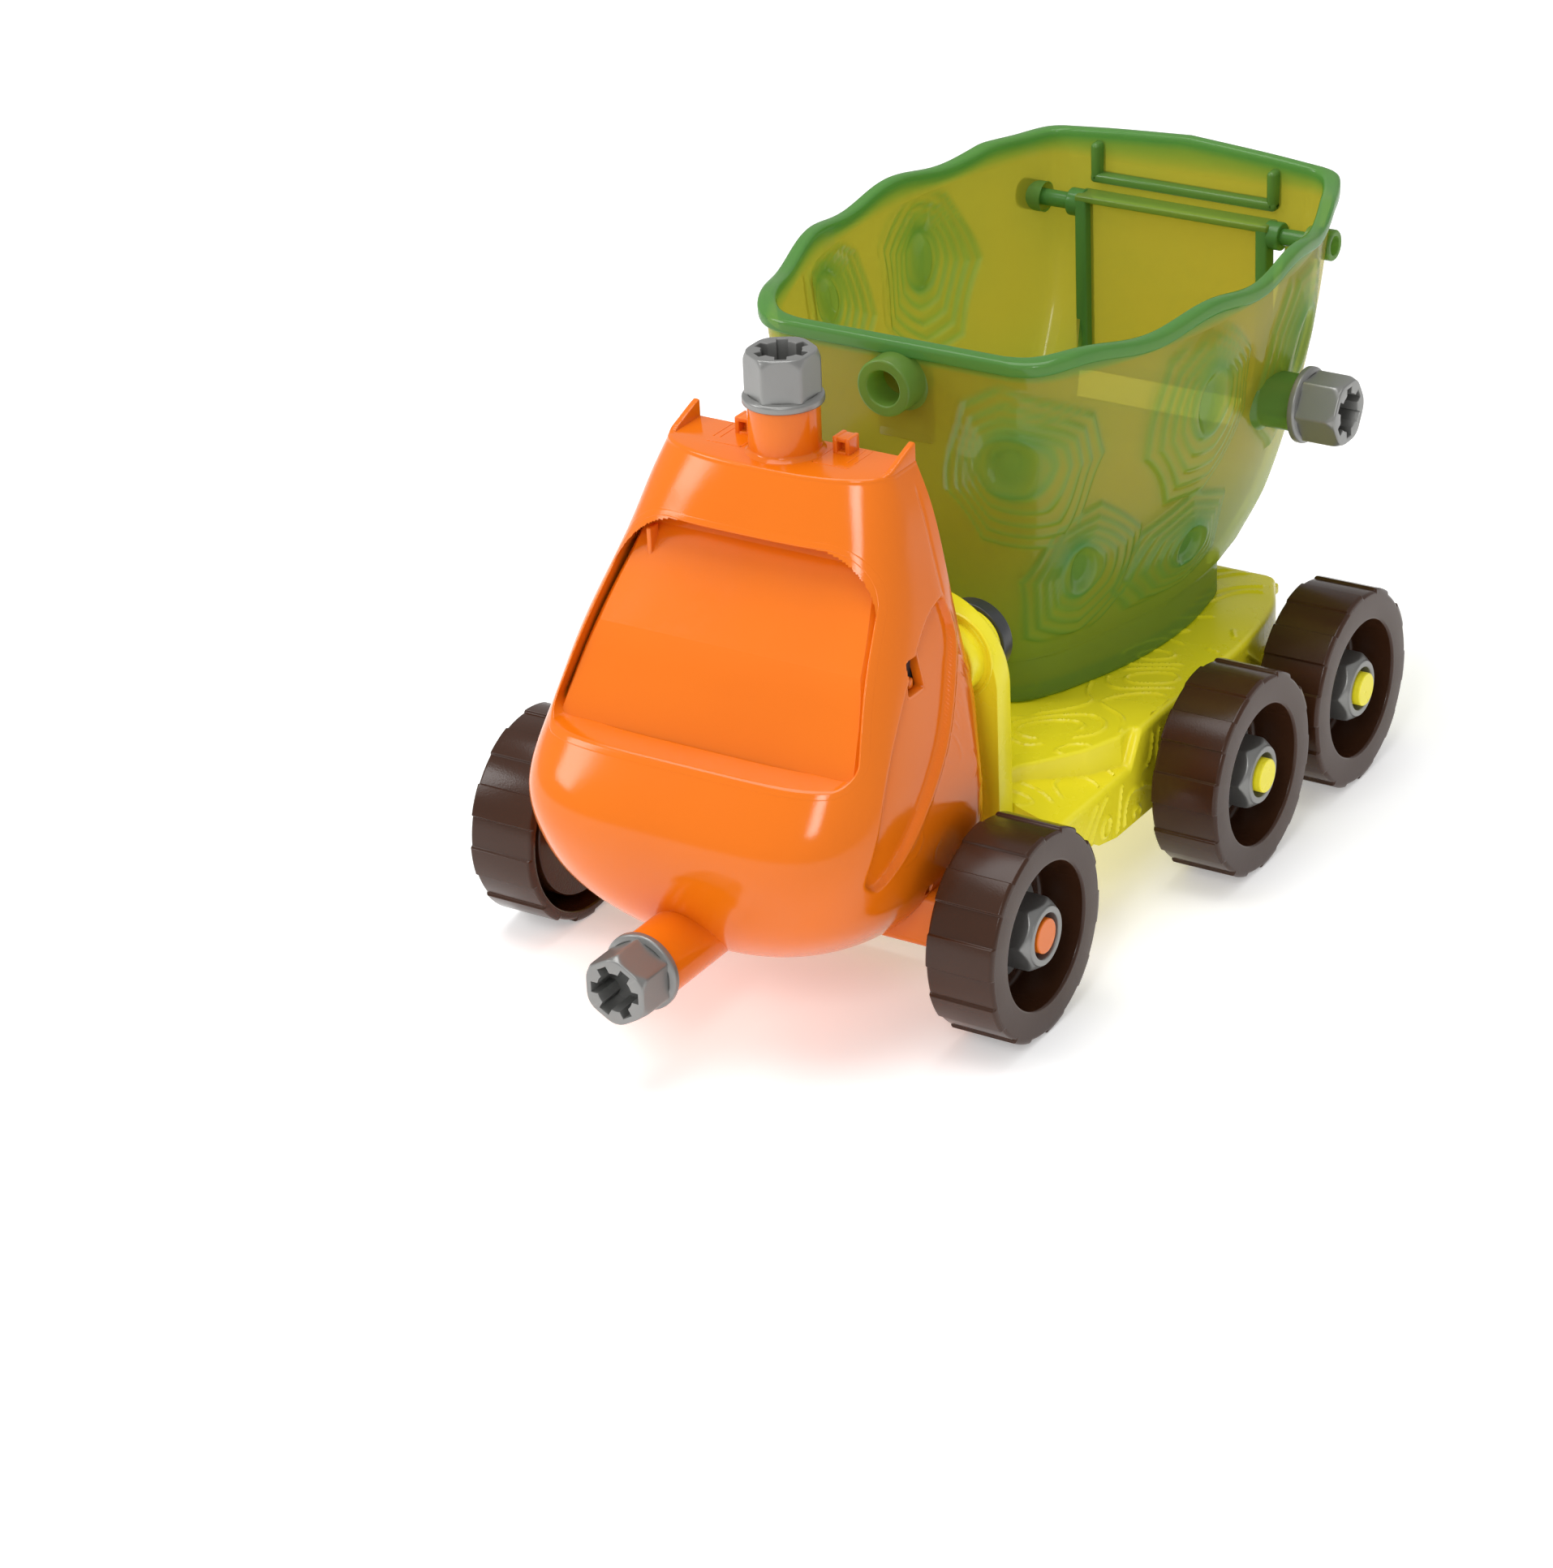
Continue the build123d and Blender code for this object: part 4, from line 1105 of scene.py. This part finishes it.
def deck_skin():
    """The deck with its raised grain, hollow underneath, with two slots for the hopper's lugs."""
    x0, x1, y0, y1 = LUG_SLOT
    fine = stretches((BULKHEAD_BACK_Y, y0, y1, DECK_ROUND_Y), (290, 41, 17))
    bend = np.radians(np.linspace(0, 90, 6)[1:])
    levels = np.concatenate([fine, DECK_ROUND_Y + DECK_ROUND_R * np.sin(bend)])
    sheet = deck_sheet(levels, 0.0)
    step = np.linalg.norm(np.diff(sheet, axis=1), axis=2)
    walk = np.concatenate([np.zeros((len(sheet), 1)), np.cumsum(step, axis=1)], axis=1)
    walk -= walk[:, walk.shape[1] // 2][:, None]
    grain = grain_lines(walk, sheet[..., 1], 3, 7.0, 1.7, 0.8)
    half = (sheet.shape[1] - 1) // 2
    off_middle = np.abs(np.arange(sheet.shape[1]) - half)
    on_lip = (off_middle >= LIP_COLUMNS[0]) & (off_middle <= LIP_COLUMNS[1])
    on_edge = (off_middle >= EDGE_COLUMNS[0]) & (off_middle <= EDGE_COLUMNS[1])
    grain *= np.where(on_lip | on_edge, 0.0, 1.0)[None, :]
    grain *= ease((228.5 - sheet[..., 1]) / 3) * ease((sheet[..., 2] - 27.0) / 1.5)
    near_edge = off_middle > EDGE_COLUMNS[0] - 4
    grain *= np.where(near_edge, ease((196.0 - sheet[..., 1]) / 8), 1.0)
    sheet = raised(sheet, 0.75 * grain)
    mid = (sheet[:-1, :-1] + sheet[1:, 1:]) / 2
    slot = (np.abs(mid[..., 0]) > x0) & (np.abs(mid[..., 0]) < x1) & (mid[..., 1] > y0) & (mid[..., 1] < y1)
    made = Skin().grid(sheet, keep=~slot, caps=(-1,))
    under = deck_sheet(np.linspace(BULKHEAD_BACK_Y, DECK_ROUND_Y, 60), 3.0)[:, ::6]
    made.grid(under, flip=True, caps=(-1,))
    for end in (0, -1):
        made.grid(rear_rim(sheet[:, end], under[:, end]), flip=end == 0)
    made.grid(rear_rim(sheet[0], under[0]))
    pockets = Skin()
    loop = np.array([(x0, y0), (x1, y0), (x1, y1), (x0, y1)])
    rows = np.array([np.column_stack([loop, np.full(4, z)]) for z in (DECK_Z, 45.0)])
    pockets.grid(rows, wrap=True, caps=(-1,))
    for a, b in ((24.0, x0 - 0.02), (x1 + 0.02, 48.0)):
        pockets.join(block(a, b, 207, 219, 46, 55.5, 0.5))
    for y in (75.0, 178.0):
        pockets.join(lathe([(5.0, 26.1), (5.0, 55.5)], 32).moved(place(40.0, y, 0)))
    made.join(pockets.both_sides())
    made.join(block(-60, 60, 229, 235, 49, 53, 0.9))
    return made


def bulkhead_skin():
    """Upright plate between cab and hopper: soft rear edges, a root fillet, and a boss, a raised ring and
    a collar round each cab screw."""
    half, foot, top = 61.0, 47.5, 124.0
    corners = [(-half, foot), (half, foot), (half, top), (-half, top)]
    ring = softened(corners, (0.5, 0.5, 29.0, 29.0), 20, closed=True)
    out = outward(ring)
    bend = np.radians(np.linspace(0, 90, 7))
    soft = 2.5
    profile = [(-0.7, BULKHEAD_FRONT_Y), (-0.2, BULKHEAD_FRONT_Y + 0.15), (0.0, BULKHEAD_FRONT_Y + 0.7)]
    profile += [(soft * (cos(a) - 1), BULKHEAD_BACK_Y - soft + soft * sin(a)) for a in bend]
    rows = [upright_row(ring + out * reach, y) for reach, y in profile]
    made = Skin().grid(np.array(rows), wrap=True, caps=(0, -1))
    root, reach = 2.2, 49.0
    fillet = [(BULKHEAD_BACK_Y + root * (1 - cos(a)), DECK_Z + root * (1 - sin(a))) for a in bend]
    rows = np.array([[(-reach, y, z), (reach, y, z)] for y, z in fillet])
    made.grid(rows, flip=True)
    boss = [(12.0, -0.5), (12.0, CAB_BOLT_BOSS), (BORE_R, CAB_BOLT_BOSS), (BORE_R, -2.0)]
    boss = softened(boss, (0, 0.7, 0.3, 0))
    collar = softened([(12.5, -0.3), (12.0, 6.5), (9.05, 6.5)], (0, 1.0, 0))
    ring_mark = softened([(15.6, -0.3), (15.2, 0.35), (14.2, 0.35), (13.8, -0.3)], (0, 0.25, 0.25, 0))
    for x in (CAB_BOLT_X, -CAB_BOLT_X):
        made.join(lathe(boss, 72).moved(seat(x, BULKHEAD_BACK_Y, CAB_BOLT_Z, "+y")))
        for ring in (ring_mark, collar):
            made.join(lathe(ring, 72).moved(seat(x, BULKHEAD_FRONT_Y, CAB_BOLT_Z, "-y")))
    return made


def build_chassis():
    deck = deck_skin().join(bulkhead_skin())
    deck.piece("chassis_deck_look", lime, "truck", ["chassis_deck"], sharp=44)
    for node in ("underframe", "mid_axle", "rear_axle"):
        dress(node, lime, 0.5)
    dress("underframe_screws", steel, 0.2)
    dress("pivot_pin", steel, 0.3)


# ---------------------------------------------------------------- hopper

# the hopper's foot, as a plan like those above
TUB_FOOT = (96.5, 211.0, 32.0, 48.5, 12.5)
# low and high edges of the opening behind the tailgate, and its half width where the rear wall stands at a y
GATE_OPENING = (99.0, 166.5)
MOUTH_TAPER = ((257.0, 281.0), (32.0, 40.0))
# points across the front, along a side, beside the opening and across half of it
FRONT_COLUMNS, SIDE_COLUMNS, POST_COLUMNS, REAR_COLUMNS = 26, 250, 5, 34
# mounds pressed into the wall: centre x, y, z, half width, half height, turn
KNOTS = (
    (70, 155, 150, 29, 36, 0.2), (70, 218, 148, 28, 37, 0.5), (60, 106, 106, 25, 28, 0.9),
    (42, 88, 147, 31, 32, 0.3), (66, 156, 98, 30, 21, 0.1), (-70, 161, 158, 24, 27, 0.4),
    (-70, 220, 152, 25, 30, 0.1), (-66, 112, 146, 22, 28, 0.7), (-66, 152, 100, 24, 17, 0.3),
)


def tub_outline(plan, inset):
    """Closed level cut of the hopper: front middle, left side, rear middle, right side."""
    front_y, rear_y, front_w, rear_w, bulge = plan
    front_y, rear_y = front_y + inset, rear_y - inset
    corner = 5.0
    s = np.array([0.03, 0.1, 0.22, 0.36, 0.5, 0.64, 0.78, 0.89, 0.96])
    w = front_w + (rear_w - front_w) * s + bulge * np.sin(pi * s) ** 0.8 - inset
    side = [(front_w - inset - 2 * corner, front_y), (front_w - inset - 2.0, front_y + 1.9)]
    side += list(zip(w, front_y + (rear_y - front_y) * s))[1:]
    side += [(rear_w - inset - 0.4, rear_y - 1.2), (rear_w - inset - corner, rear_y)]
    side = through(side, SIDE_COLUMNS)
    front = np.column_stack([np.linspace(0, side[0, 0], FRONT_COLUMNS), np.full(FRONT_COLUMNS, front_y)])[:-1]
    mouth = np.interp(rear_y + inset, *MOUTH_TAPER)
    post = np.linspace(side[-1, 0], min(mouth, side[-1, 0] - 0.5), POST_COLUMNS + 1)[1:]
    rear = np.linspace(post[-1], 0, REAR_COLUMNS)[1:]
    back = np.concatenate([post, rear])
    half = np.vstack([front, side, np.column_stack([back, np.full(len(back), rear_y)])])
    return np.vstack([half, half[-2:0:-1] * (-1, 1)])


def tub_plan(z):
    return held_spline(TUB_STATIONS[:, 0], TUB_STATIONS[:, 1:], np.array([z]))[0]


def rim_height(x, y):
    """Height of the hopper's wavy rim."""
    along = RIM_Z + 1.6 * np.sin(2 * pi * (y - 82) / 56)
    tail = held_line(((250, 189.0), (262, 189.4), (272, 190.4), (282, 192.6), (300, 193.0)), y)
    along = np.where(y > 250, along + (tail - along) * ease((y - 250) / 12), along)
    arch = held_line(((0, 193.2), (30, 191.2), (60, 188.6), (90, 187.0)), np.abs(x))
    return along + (np.minimum(arch, along + 0.6) - along) * ease((y - 252) / 20)


def smooth_mound(du, dz, knot):
    """Terraced hill height, and the painted shade along its steps and in its middle dimple, at offsets from a
    knot's middle; inner rings sit off centre.
    """
    _, y, z, half_u, half_z, turn = knot
    chance = np.random.default_rng(int(abs(y) * 7 + z))
    facings = [turn + 2 * pi * (k + chance.uniform(-0.16, 0.16)) / 7 for k in range(7)]
    reaches = [chance.uniform(0.8, 1.0) for _ in range(7)]
    shift_u, shift_z = 0.16 * cos(turn * 3 + 1.0), 0.14
    wander = 0.045 * np.sin(dz / 7.0 + turn * 5) + 0.035 * np.sin(du / 5.5 + turn * 9)
    height = np.zeros_like(du)
    painted_shade = np.zeros_like(du)
    for i, level in enumerate((1.0, 0.82, 0.66, 0.51, 0.37)):
        drawn = i / 4.0
        u = du / half_u - shift_u * drawn * (1 - level) * 1.6 + wander
        v = dz / half_z - shift_z * drawn * (1 - level) * 1.6
        corners = np.zeros_like(du)
        for facing, reach in zip(facings, reaches):
            corners = np.maximum(corners, (u * cos(facing) + v * sin(facing)) / reach)
        here = corners * (1 - 0.75 * drawn) + np.hypot(u, v) * 0.75 * drawn
        height += (1.25 - 0.12 * i) * ease((level - here) / 0.06 + 0.5)
        # painted shade along each terrace step
        painted_shade += 0.42 * np.exp(-((here - level + 0.02) / 0.045) ** 2)
        centre = np.hypot(u * 1.25, v * 0.85)
    height -= 2.2 * ease((0.30 - centre) / 0.16)
    # painted shade in the dimple at the middle
    painted_shade += 0.55 * ease((0.48 - centre) / 0.34)
    return height, painted_shade


def pressed(sheet):
    """A wall sheet with the knots pushed outwards, and the painted shade each point gets at the knots."""
    step = np.linalg.norm(np.diff(sheet[..., :2], axis=1, append=sheet[:, :1, :2]), axis=2)
    walk = np.cumsum(step, axis=1) - step
    girth = step.sum(axis=1, keepdims=True)
    height = np.zeros(sheet.shape[:2])
    painted_shade = np.zeros(sheet.shape[:2])
    for knot in KNOTS:
        gap = np.linalg.norm(sheet - np.array(knot[:3], float), axis=2)
        row, column = np.unravel_index(np.argmin(gap), gap.shape)
        share = walk[row, column] / girth[row, 0]
        du = walk - share * girth
        du = (du + girth / 2) % girth - girth / 2
        hill, shade = smooth_mound(du, sheet[..., 2] - knot[2], knot)
        height = np.maximum(height, hill)
        painted_shade = np.maximum(painted_shade, shade)
    fade = ease((sheet[..., 2] - 79) / 5) * ease((181 - sheet[..., 2]) / 6)
    away_from_gate = ease((262 - sheet[..., 1]) / 10)
    height, painted_shade = height * fade * away_from_gate, painted_shade * fade * away_from_gate
    turned = np.concatenate([sheet[:, -1:], sheet, sheet[:, :1]], axis=1)
    across = (turned[:, 2:] - turned[:, :-2]) / 2
    up = np.gradient(sheet, axis=0)
    normal = np.cross(across, up)
    normal /= np.maximum(np.linalg.norm(normal, axis=2), 1e-9)[..., None]
    return sheet + normal * height[..., None], painted_shade


def tub_rows(floor_z, inset, shelf_z):
    """Rows of one wall sheet from the floor, over the ledge, to just under the rim, and the numbers of the
    rows at the low and high edges of the opening behind the tailgate."""
    rows = []

    def add(plan, z, draw_in):
        rows.append(level_row(tub_outline(plan, draw_in), z))
    for drop, draw in ((0.0, 1.2), (0.25, 0.4), (0.9, 0.0)):
        add(TUB_FOOT, floor_z + drop, inset + draw)
    for z in np.linspace(floor_z + 2, shelf_z - 0.6, 12):
        add(TUB_FOOT, z, inset)
    for lift, draw in ((0.0, 1.0), (0.2, 0.3), (0.8, 0.0)):
        add(tub_plan(LEDGE_Z), shelf_z + lift, inset + draw)
        smooth = tub_outline(tub_plan(LEDGE_Z), inset)
        overhang = ease((smooth[:, 1] - 196) / 16)[:, None]
        rows[-1][:, :2] = smooth + (rows[-1][:, :2] - smooth) * overhang
    below = len(rows)
    low, high = GATE_OPENING
    levels = stretches((shelf_z + 1.6, low, high, 180), (26, 84, 9))
    last = TUB_STATIONS[-1, 0]
    for z in levels:
        plan_z = last - (last - z) * (last - LEDGE_Z) / (last - shelf_z)
        add(tub_plan(plan_z), z, inset)
    return np.array(rows), below + 25, below + 25 + 83


def rim_rows():
    """Rows of the rolled rim from the outer wall over the top to the inner wall."""
    profile = [
        (5.15, 0.0), (5.05, 0.25), (5.0, 0.8), (4.9, 1.4), (4.5, 1.85), (3.9, 2.0), (1.5, 2.0), (0.8, 1.85),
        (0.3, 1.4), (0.05, 0.8), (0.0, 0.2), (0.0, -1.2), (0.12, -1.8), (0.5, -2.3), (1.1, -2.6), (2.5, -2.6),
        (5.0, -2.6),
    ]
    rows = []
    for drop, out in profile:
        outline = tub_outline(tub_plan(RIM_Z - drop), -out)
        rows.append(np.column_stack([outline, rim_height(*outline.T) - drop]))
    return rows


def wall_tone(sheet):
    """Thin and olive above, greener towards the foot, and darkest along the bottom edge."""
    z = sheet[..., 2]
    return 0.10 + 0.36 * ease((132 - z) / 66) + 0.2 * ease((66 - z) / 3)


def tub_skin():
    """The hopper's two wall sheets, its rolled rim and the edges of the opening behind the tailgate."""
    outer, low_row, high_row = tub_rows(TUB_FLOOR_Z, 0.0, LEDGE_Z)
    inner, _, _ = tub_rows(TUB_FLOOR_Z + 4, TUB_WALL, LEDGE_Z + 3)
    outer, outer_painted_shade = pressed(outer)
    inner, inner_painted_shade = pressed(inner)
    first = FRONT_COLUMNS - 1 + SIDE_COLUMNS + POST_COLUMNS - 1
    last = outer.shape[1] - first
    keep = np.ones((len(outer) - 1, outer.shape[1]), bool)
    keep[low_row:high_row, first:last] = False
    made = Skin()
    # the knots' painted shade is added to each wall's tone
    made.grid(outer, wrap=True, keep=keep, caps=(0,), tone=wall_tone(outer) + outer_painted_shade)
    made.grid(inner, wrap=True, flip=True, keep=keep, caps=(0,), tone=wall_tone(inner) + inner_painted_shade)
    rim = np.array([outer[-1]] + rim_rows() + [inner[-1]])
    tone = np.ones(rim.shape[:2])
    tone[0] = tone[-1] = wall_tone(outer[-1:])[0]
    tone[-2] = 0.45
    made.grid(rim, wrap=True, tone=tone)
    for row, turned in ((low_row, False), (high_row, True)):
        made.grid(np.array([outer[row, first:last + 1], inner[row, first:last + 1]]), flip=turned, tone=0.9)
    beside = slice(low_row, high_row + 1)
    for column, turned in ((first, True), (last, False)):
        made.grid(np.array([outer[beside, column], inner[beside, column]]), flip=turned, tone=0.9)
    return made


def tub_fittings():
    """Front and side bosses, the gate's rail, stops and pin bosses, and the pivot lugs."""
    reach = 11.8
    boss = [(NOZZLE_R + 2.2, -0.6), (NOZZLE_R, 1.4), (NOZZLE_R, reach), (BORE_R, reach), (BORE_R, -1.0),
            (0.01, -1.0)]
    boss = softened(boss, (0, 1.5, 0.9, 0.7, 0.3, 0), steps=6)
    made = lathe(boss, 96).moved(place(0, NOZZLE_Y + reach, NOZZLE_Z, "X", 90)).toned(0.75)
    made.join(block(-10, 10, 85.0, 88, 152, 175, 0.8, 0.12))
    boss = [(NOZZLE_R + 1.6, -14.6), (NOZZLE_R, -12.5), (NOZZLE_R, 0), (BORE_R, 0), (BORE_R, -17.0)]
    thick = lathe(softened(boss, (0, 1.5, 0.8, 0.4, 0)), 96).moved(place(*SIDE_BOLT, "Y", 90))
    thick.join(block(-36.5, 36.5, 276, 281.5, 172.5, 176, 1.2))
    pair = block(33, 36.5, 276, 282.5, 172.5, 187, 1.5)
    ring = softened([(5.5, -10), (5.5, 0), (3.3, 0), (3.3, -3.4), (0.01, -3.4)], (0, 0.8, 0.5, 0.3, 0))
    pair.join(lathe(ring, 64).moved(place(62.0, GATE_Y, GATE_Z, "Y", 90)))
    py, pz = PIVOT
    lug = [(py - 14, 62), (py - 2, 62), (py + 4, pz + 3), (py, pz), (py - 5, pz)]
    pair.join(slab(lug, 34, 41, 0.5))
    tube = softened([(3.05, 0), (5.4, 0), (5.4, 7), (3.05, 7), (3.05, 0)], (0, 0.5, 0.5, 0, 0))
    pair.join(lathe(tube, 48).moved(place(34, py, pz, "Y", 90)))
    return made.join(thick.join(pair.both_sides()).toned(0.85))


def build_tub():
    tub_skin().join(tub_fittings()).piece("tub_look", green, "hopper", ["tub"], sharp=50)


def build_tailgate():
    """Flap with a grained panel, edge ribs, a flat top flange, knuckles and pins."""
    x = np.linspace(-GATE_HALF_W + 0.3, GATE_HALF_W - 0.3, 130)
    z = np.linspace(GATE_LOW_Z + 0.2, GATE_Z + 2.2, 110)
    flat_x, flat_z = np.meshgrid(x, z)
    grain = 0.4 * grain_lines(flat_x, flat_z, 21, 8.0, 1.8, 0.75)
    rear = np.stack([flat_x, GATE_Y + 0.8 + grain, flat_z], axis=-1)
    front = np.stack([flat_x, np.full_like(flat_x, GATE_Y - 1.2), flat_z], axis=-1)
    made = Skin().grid(rear, flip=True, tone=0.05 + 0.3 * grain).grid(front, tone=0.05)
    low, high, half = GATE_LOW_Z, GATE_Z, GATE_HALF_W
    made.join(block(-half, half, GATE_Y - 5, GATE_Y + 4, high + 2, high + 4.5, 0.7, 0.6))
    solid = block(-half + 0.1, half - 0.1, GATE_Y - 3.5, GATE_Y + 1.2, low, low + 3, 0.7)
    side = block(half - 4.5, half - 0.05, GATE_Y - 5, GATE_Y + 1.25, low, high + 3, 0.7)
    knuckle = softened([(0.01, 0), (5.0, 0), (5.0, 6), (2.9, 6)], (0, 0.6, 0.6, 0))
    side.join(lathe(knuckle, 64).moved(place(GATE_HALF_W - 2, GATE_Y, GATE_Z, "Y", 90)))
    pin = softened([(GATE_PIN_R, 0), (GATE_PIN_R, 20), (0.01, 20)], (0, 0.5, 0))
    side.join(lathe(pin, 64).moved(place(38, GATE_Y, GATE_Z, "Y", 90)))
    made.join(solid.join(side.both_sides()).toned(1.0))
    made.piece("tailgate_look", green, "tailgate_flap", ["tailgate"], sharp=50)


# ---------------------------------------------------------------- floor, light and camera

def build_floor():
    mesh = bpy.data.meshes.new("floor")
    reach = 6.0
    corners = [(-reach, -reach, 0), (reach, -reach, 0), (reach, reach, 0), (-reach, reach, 0)]
    mesh.from_pydata(corners, [], [(0, 1, 2, 3)])
    floor = bpy.data.objects.new("floor", mesh)
    bpy.context.scene.collection.objects.link(floor)
    pale = bpy.data.materials.new("pale_floor")
    pale.use_nodes = True
    look = pale.node_tree.nodes["Principled BSDF"]
    look.inputs["Base Color"].default_value = (0.93, 0.93, 0.93, 1)
    look.inputs["Roughness"].default_value = 0.9
    look.inputs["Emission Color"].default_value = (1, 1, 1, 1)
    look.inputs["Emission Strength"].default_value = 0.34
    look.inputs["Specular IOR Level"].default_value = 0.1
    mesh.materials.append(pale)


def soft_light(name, spot, aim, size, power):
    lamp = bpy.data.lights.new(name, "AREA")
    lamp.shape = "RECTANGLE"
    lamp.size, lamp.size_y = size
    lamp.energy = power
    shown = bpy.data.objects.new(name, lamp)
    shown.location = spot
    shown.rotation_euler = (Vector(aim) - Vector(spot)).to_track_quat("-Z", "Y").to_euler()
    bpy.context.scene.collection.objects.link(shown)


def build_light():
    world = bpy.data.worlds.new("studio")
    bpy.context.scene.world = world
    world.use_nodes = True
    sky = world.node_tree.nodes["Background"]
    sky.inputs["Color"].default_value = (1, 1, 1, 1)
    sky.inputs["Strength"].default_value = 0.56
    centre = (0.0, 0.0, 0.08)
    soft_light("overhead", (-0.25, -0.15, 1.5), centre, (1.0, 1.0), 12.0)
    soft_light("window_left", (-1.3, -1.0, 1.0), centre, (0.45, 0.8), 8.0)
    soft_light("window_right", (0.5, -1.5, 1.3), centre, (0.35, 0.5), 6.0)


def build_camera():
    azimuth, elevation, roll = radians(33.22), radians(26.66), radians(-2.57)
    back = np.array([sin(azimuth) * cos(elevation), -cos(azimuth) * cos(elevation), sin(elevation)])
    right = np.cross((0.0, 0.0, 1.0), back)
    right /= np.linalg.norm(right)
    up = np.cross(back, right)
    tilted = cos(roll) * right + sin(roll) * up
    upright = -sin(roll) * right + cos(roll) * up
    spot = to_row(np.array([753.28, -1150.37, 755.67]))
    lens = bpy.data.cameras.new("camera")
    lens.lens = 110.9
    lens.sensor_width = 36.0
    shown = bpy.data.objects.new("camera", lens)
    turned = np.eye(4)
    turned[:3, 0], turned[:3, 1], turned[:3, 2], turned[:3, 3] = tilted, upright, back, spot
    shown.matrix_world = Matrix(turned.tolist())
    bpy.context.scene.collection.objects.link(shown)
    bpy.context.scene.camera = shown


build_fasteners()
build_wheels()
build_cab()
build_chassis()
build_tub()
build_tailgate()
build_floor()
build_light()
build_camera()
bpy.context.scene.view_settings.view_transform = "Standard"
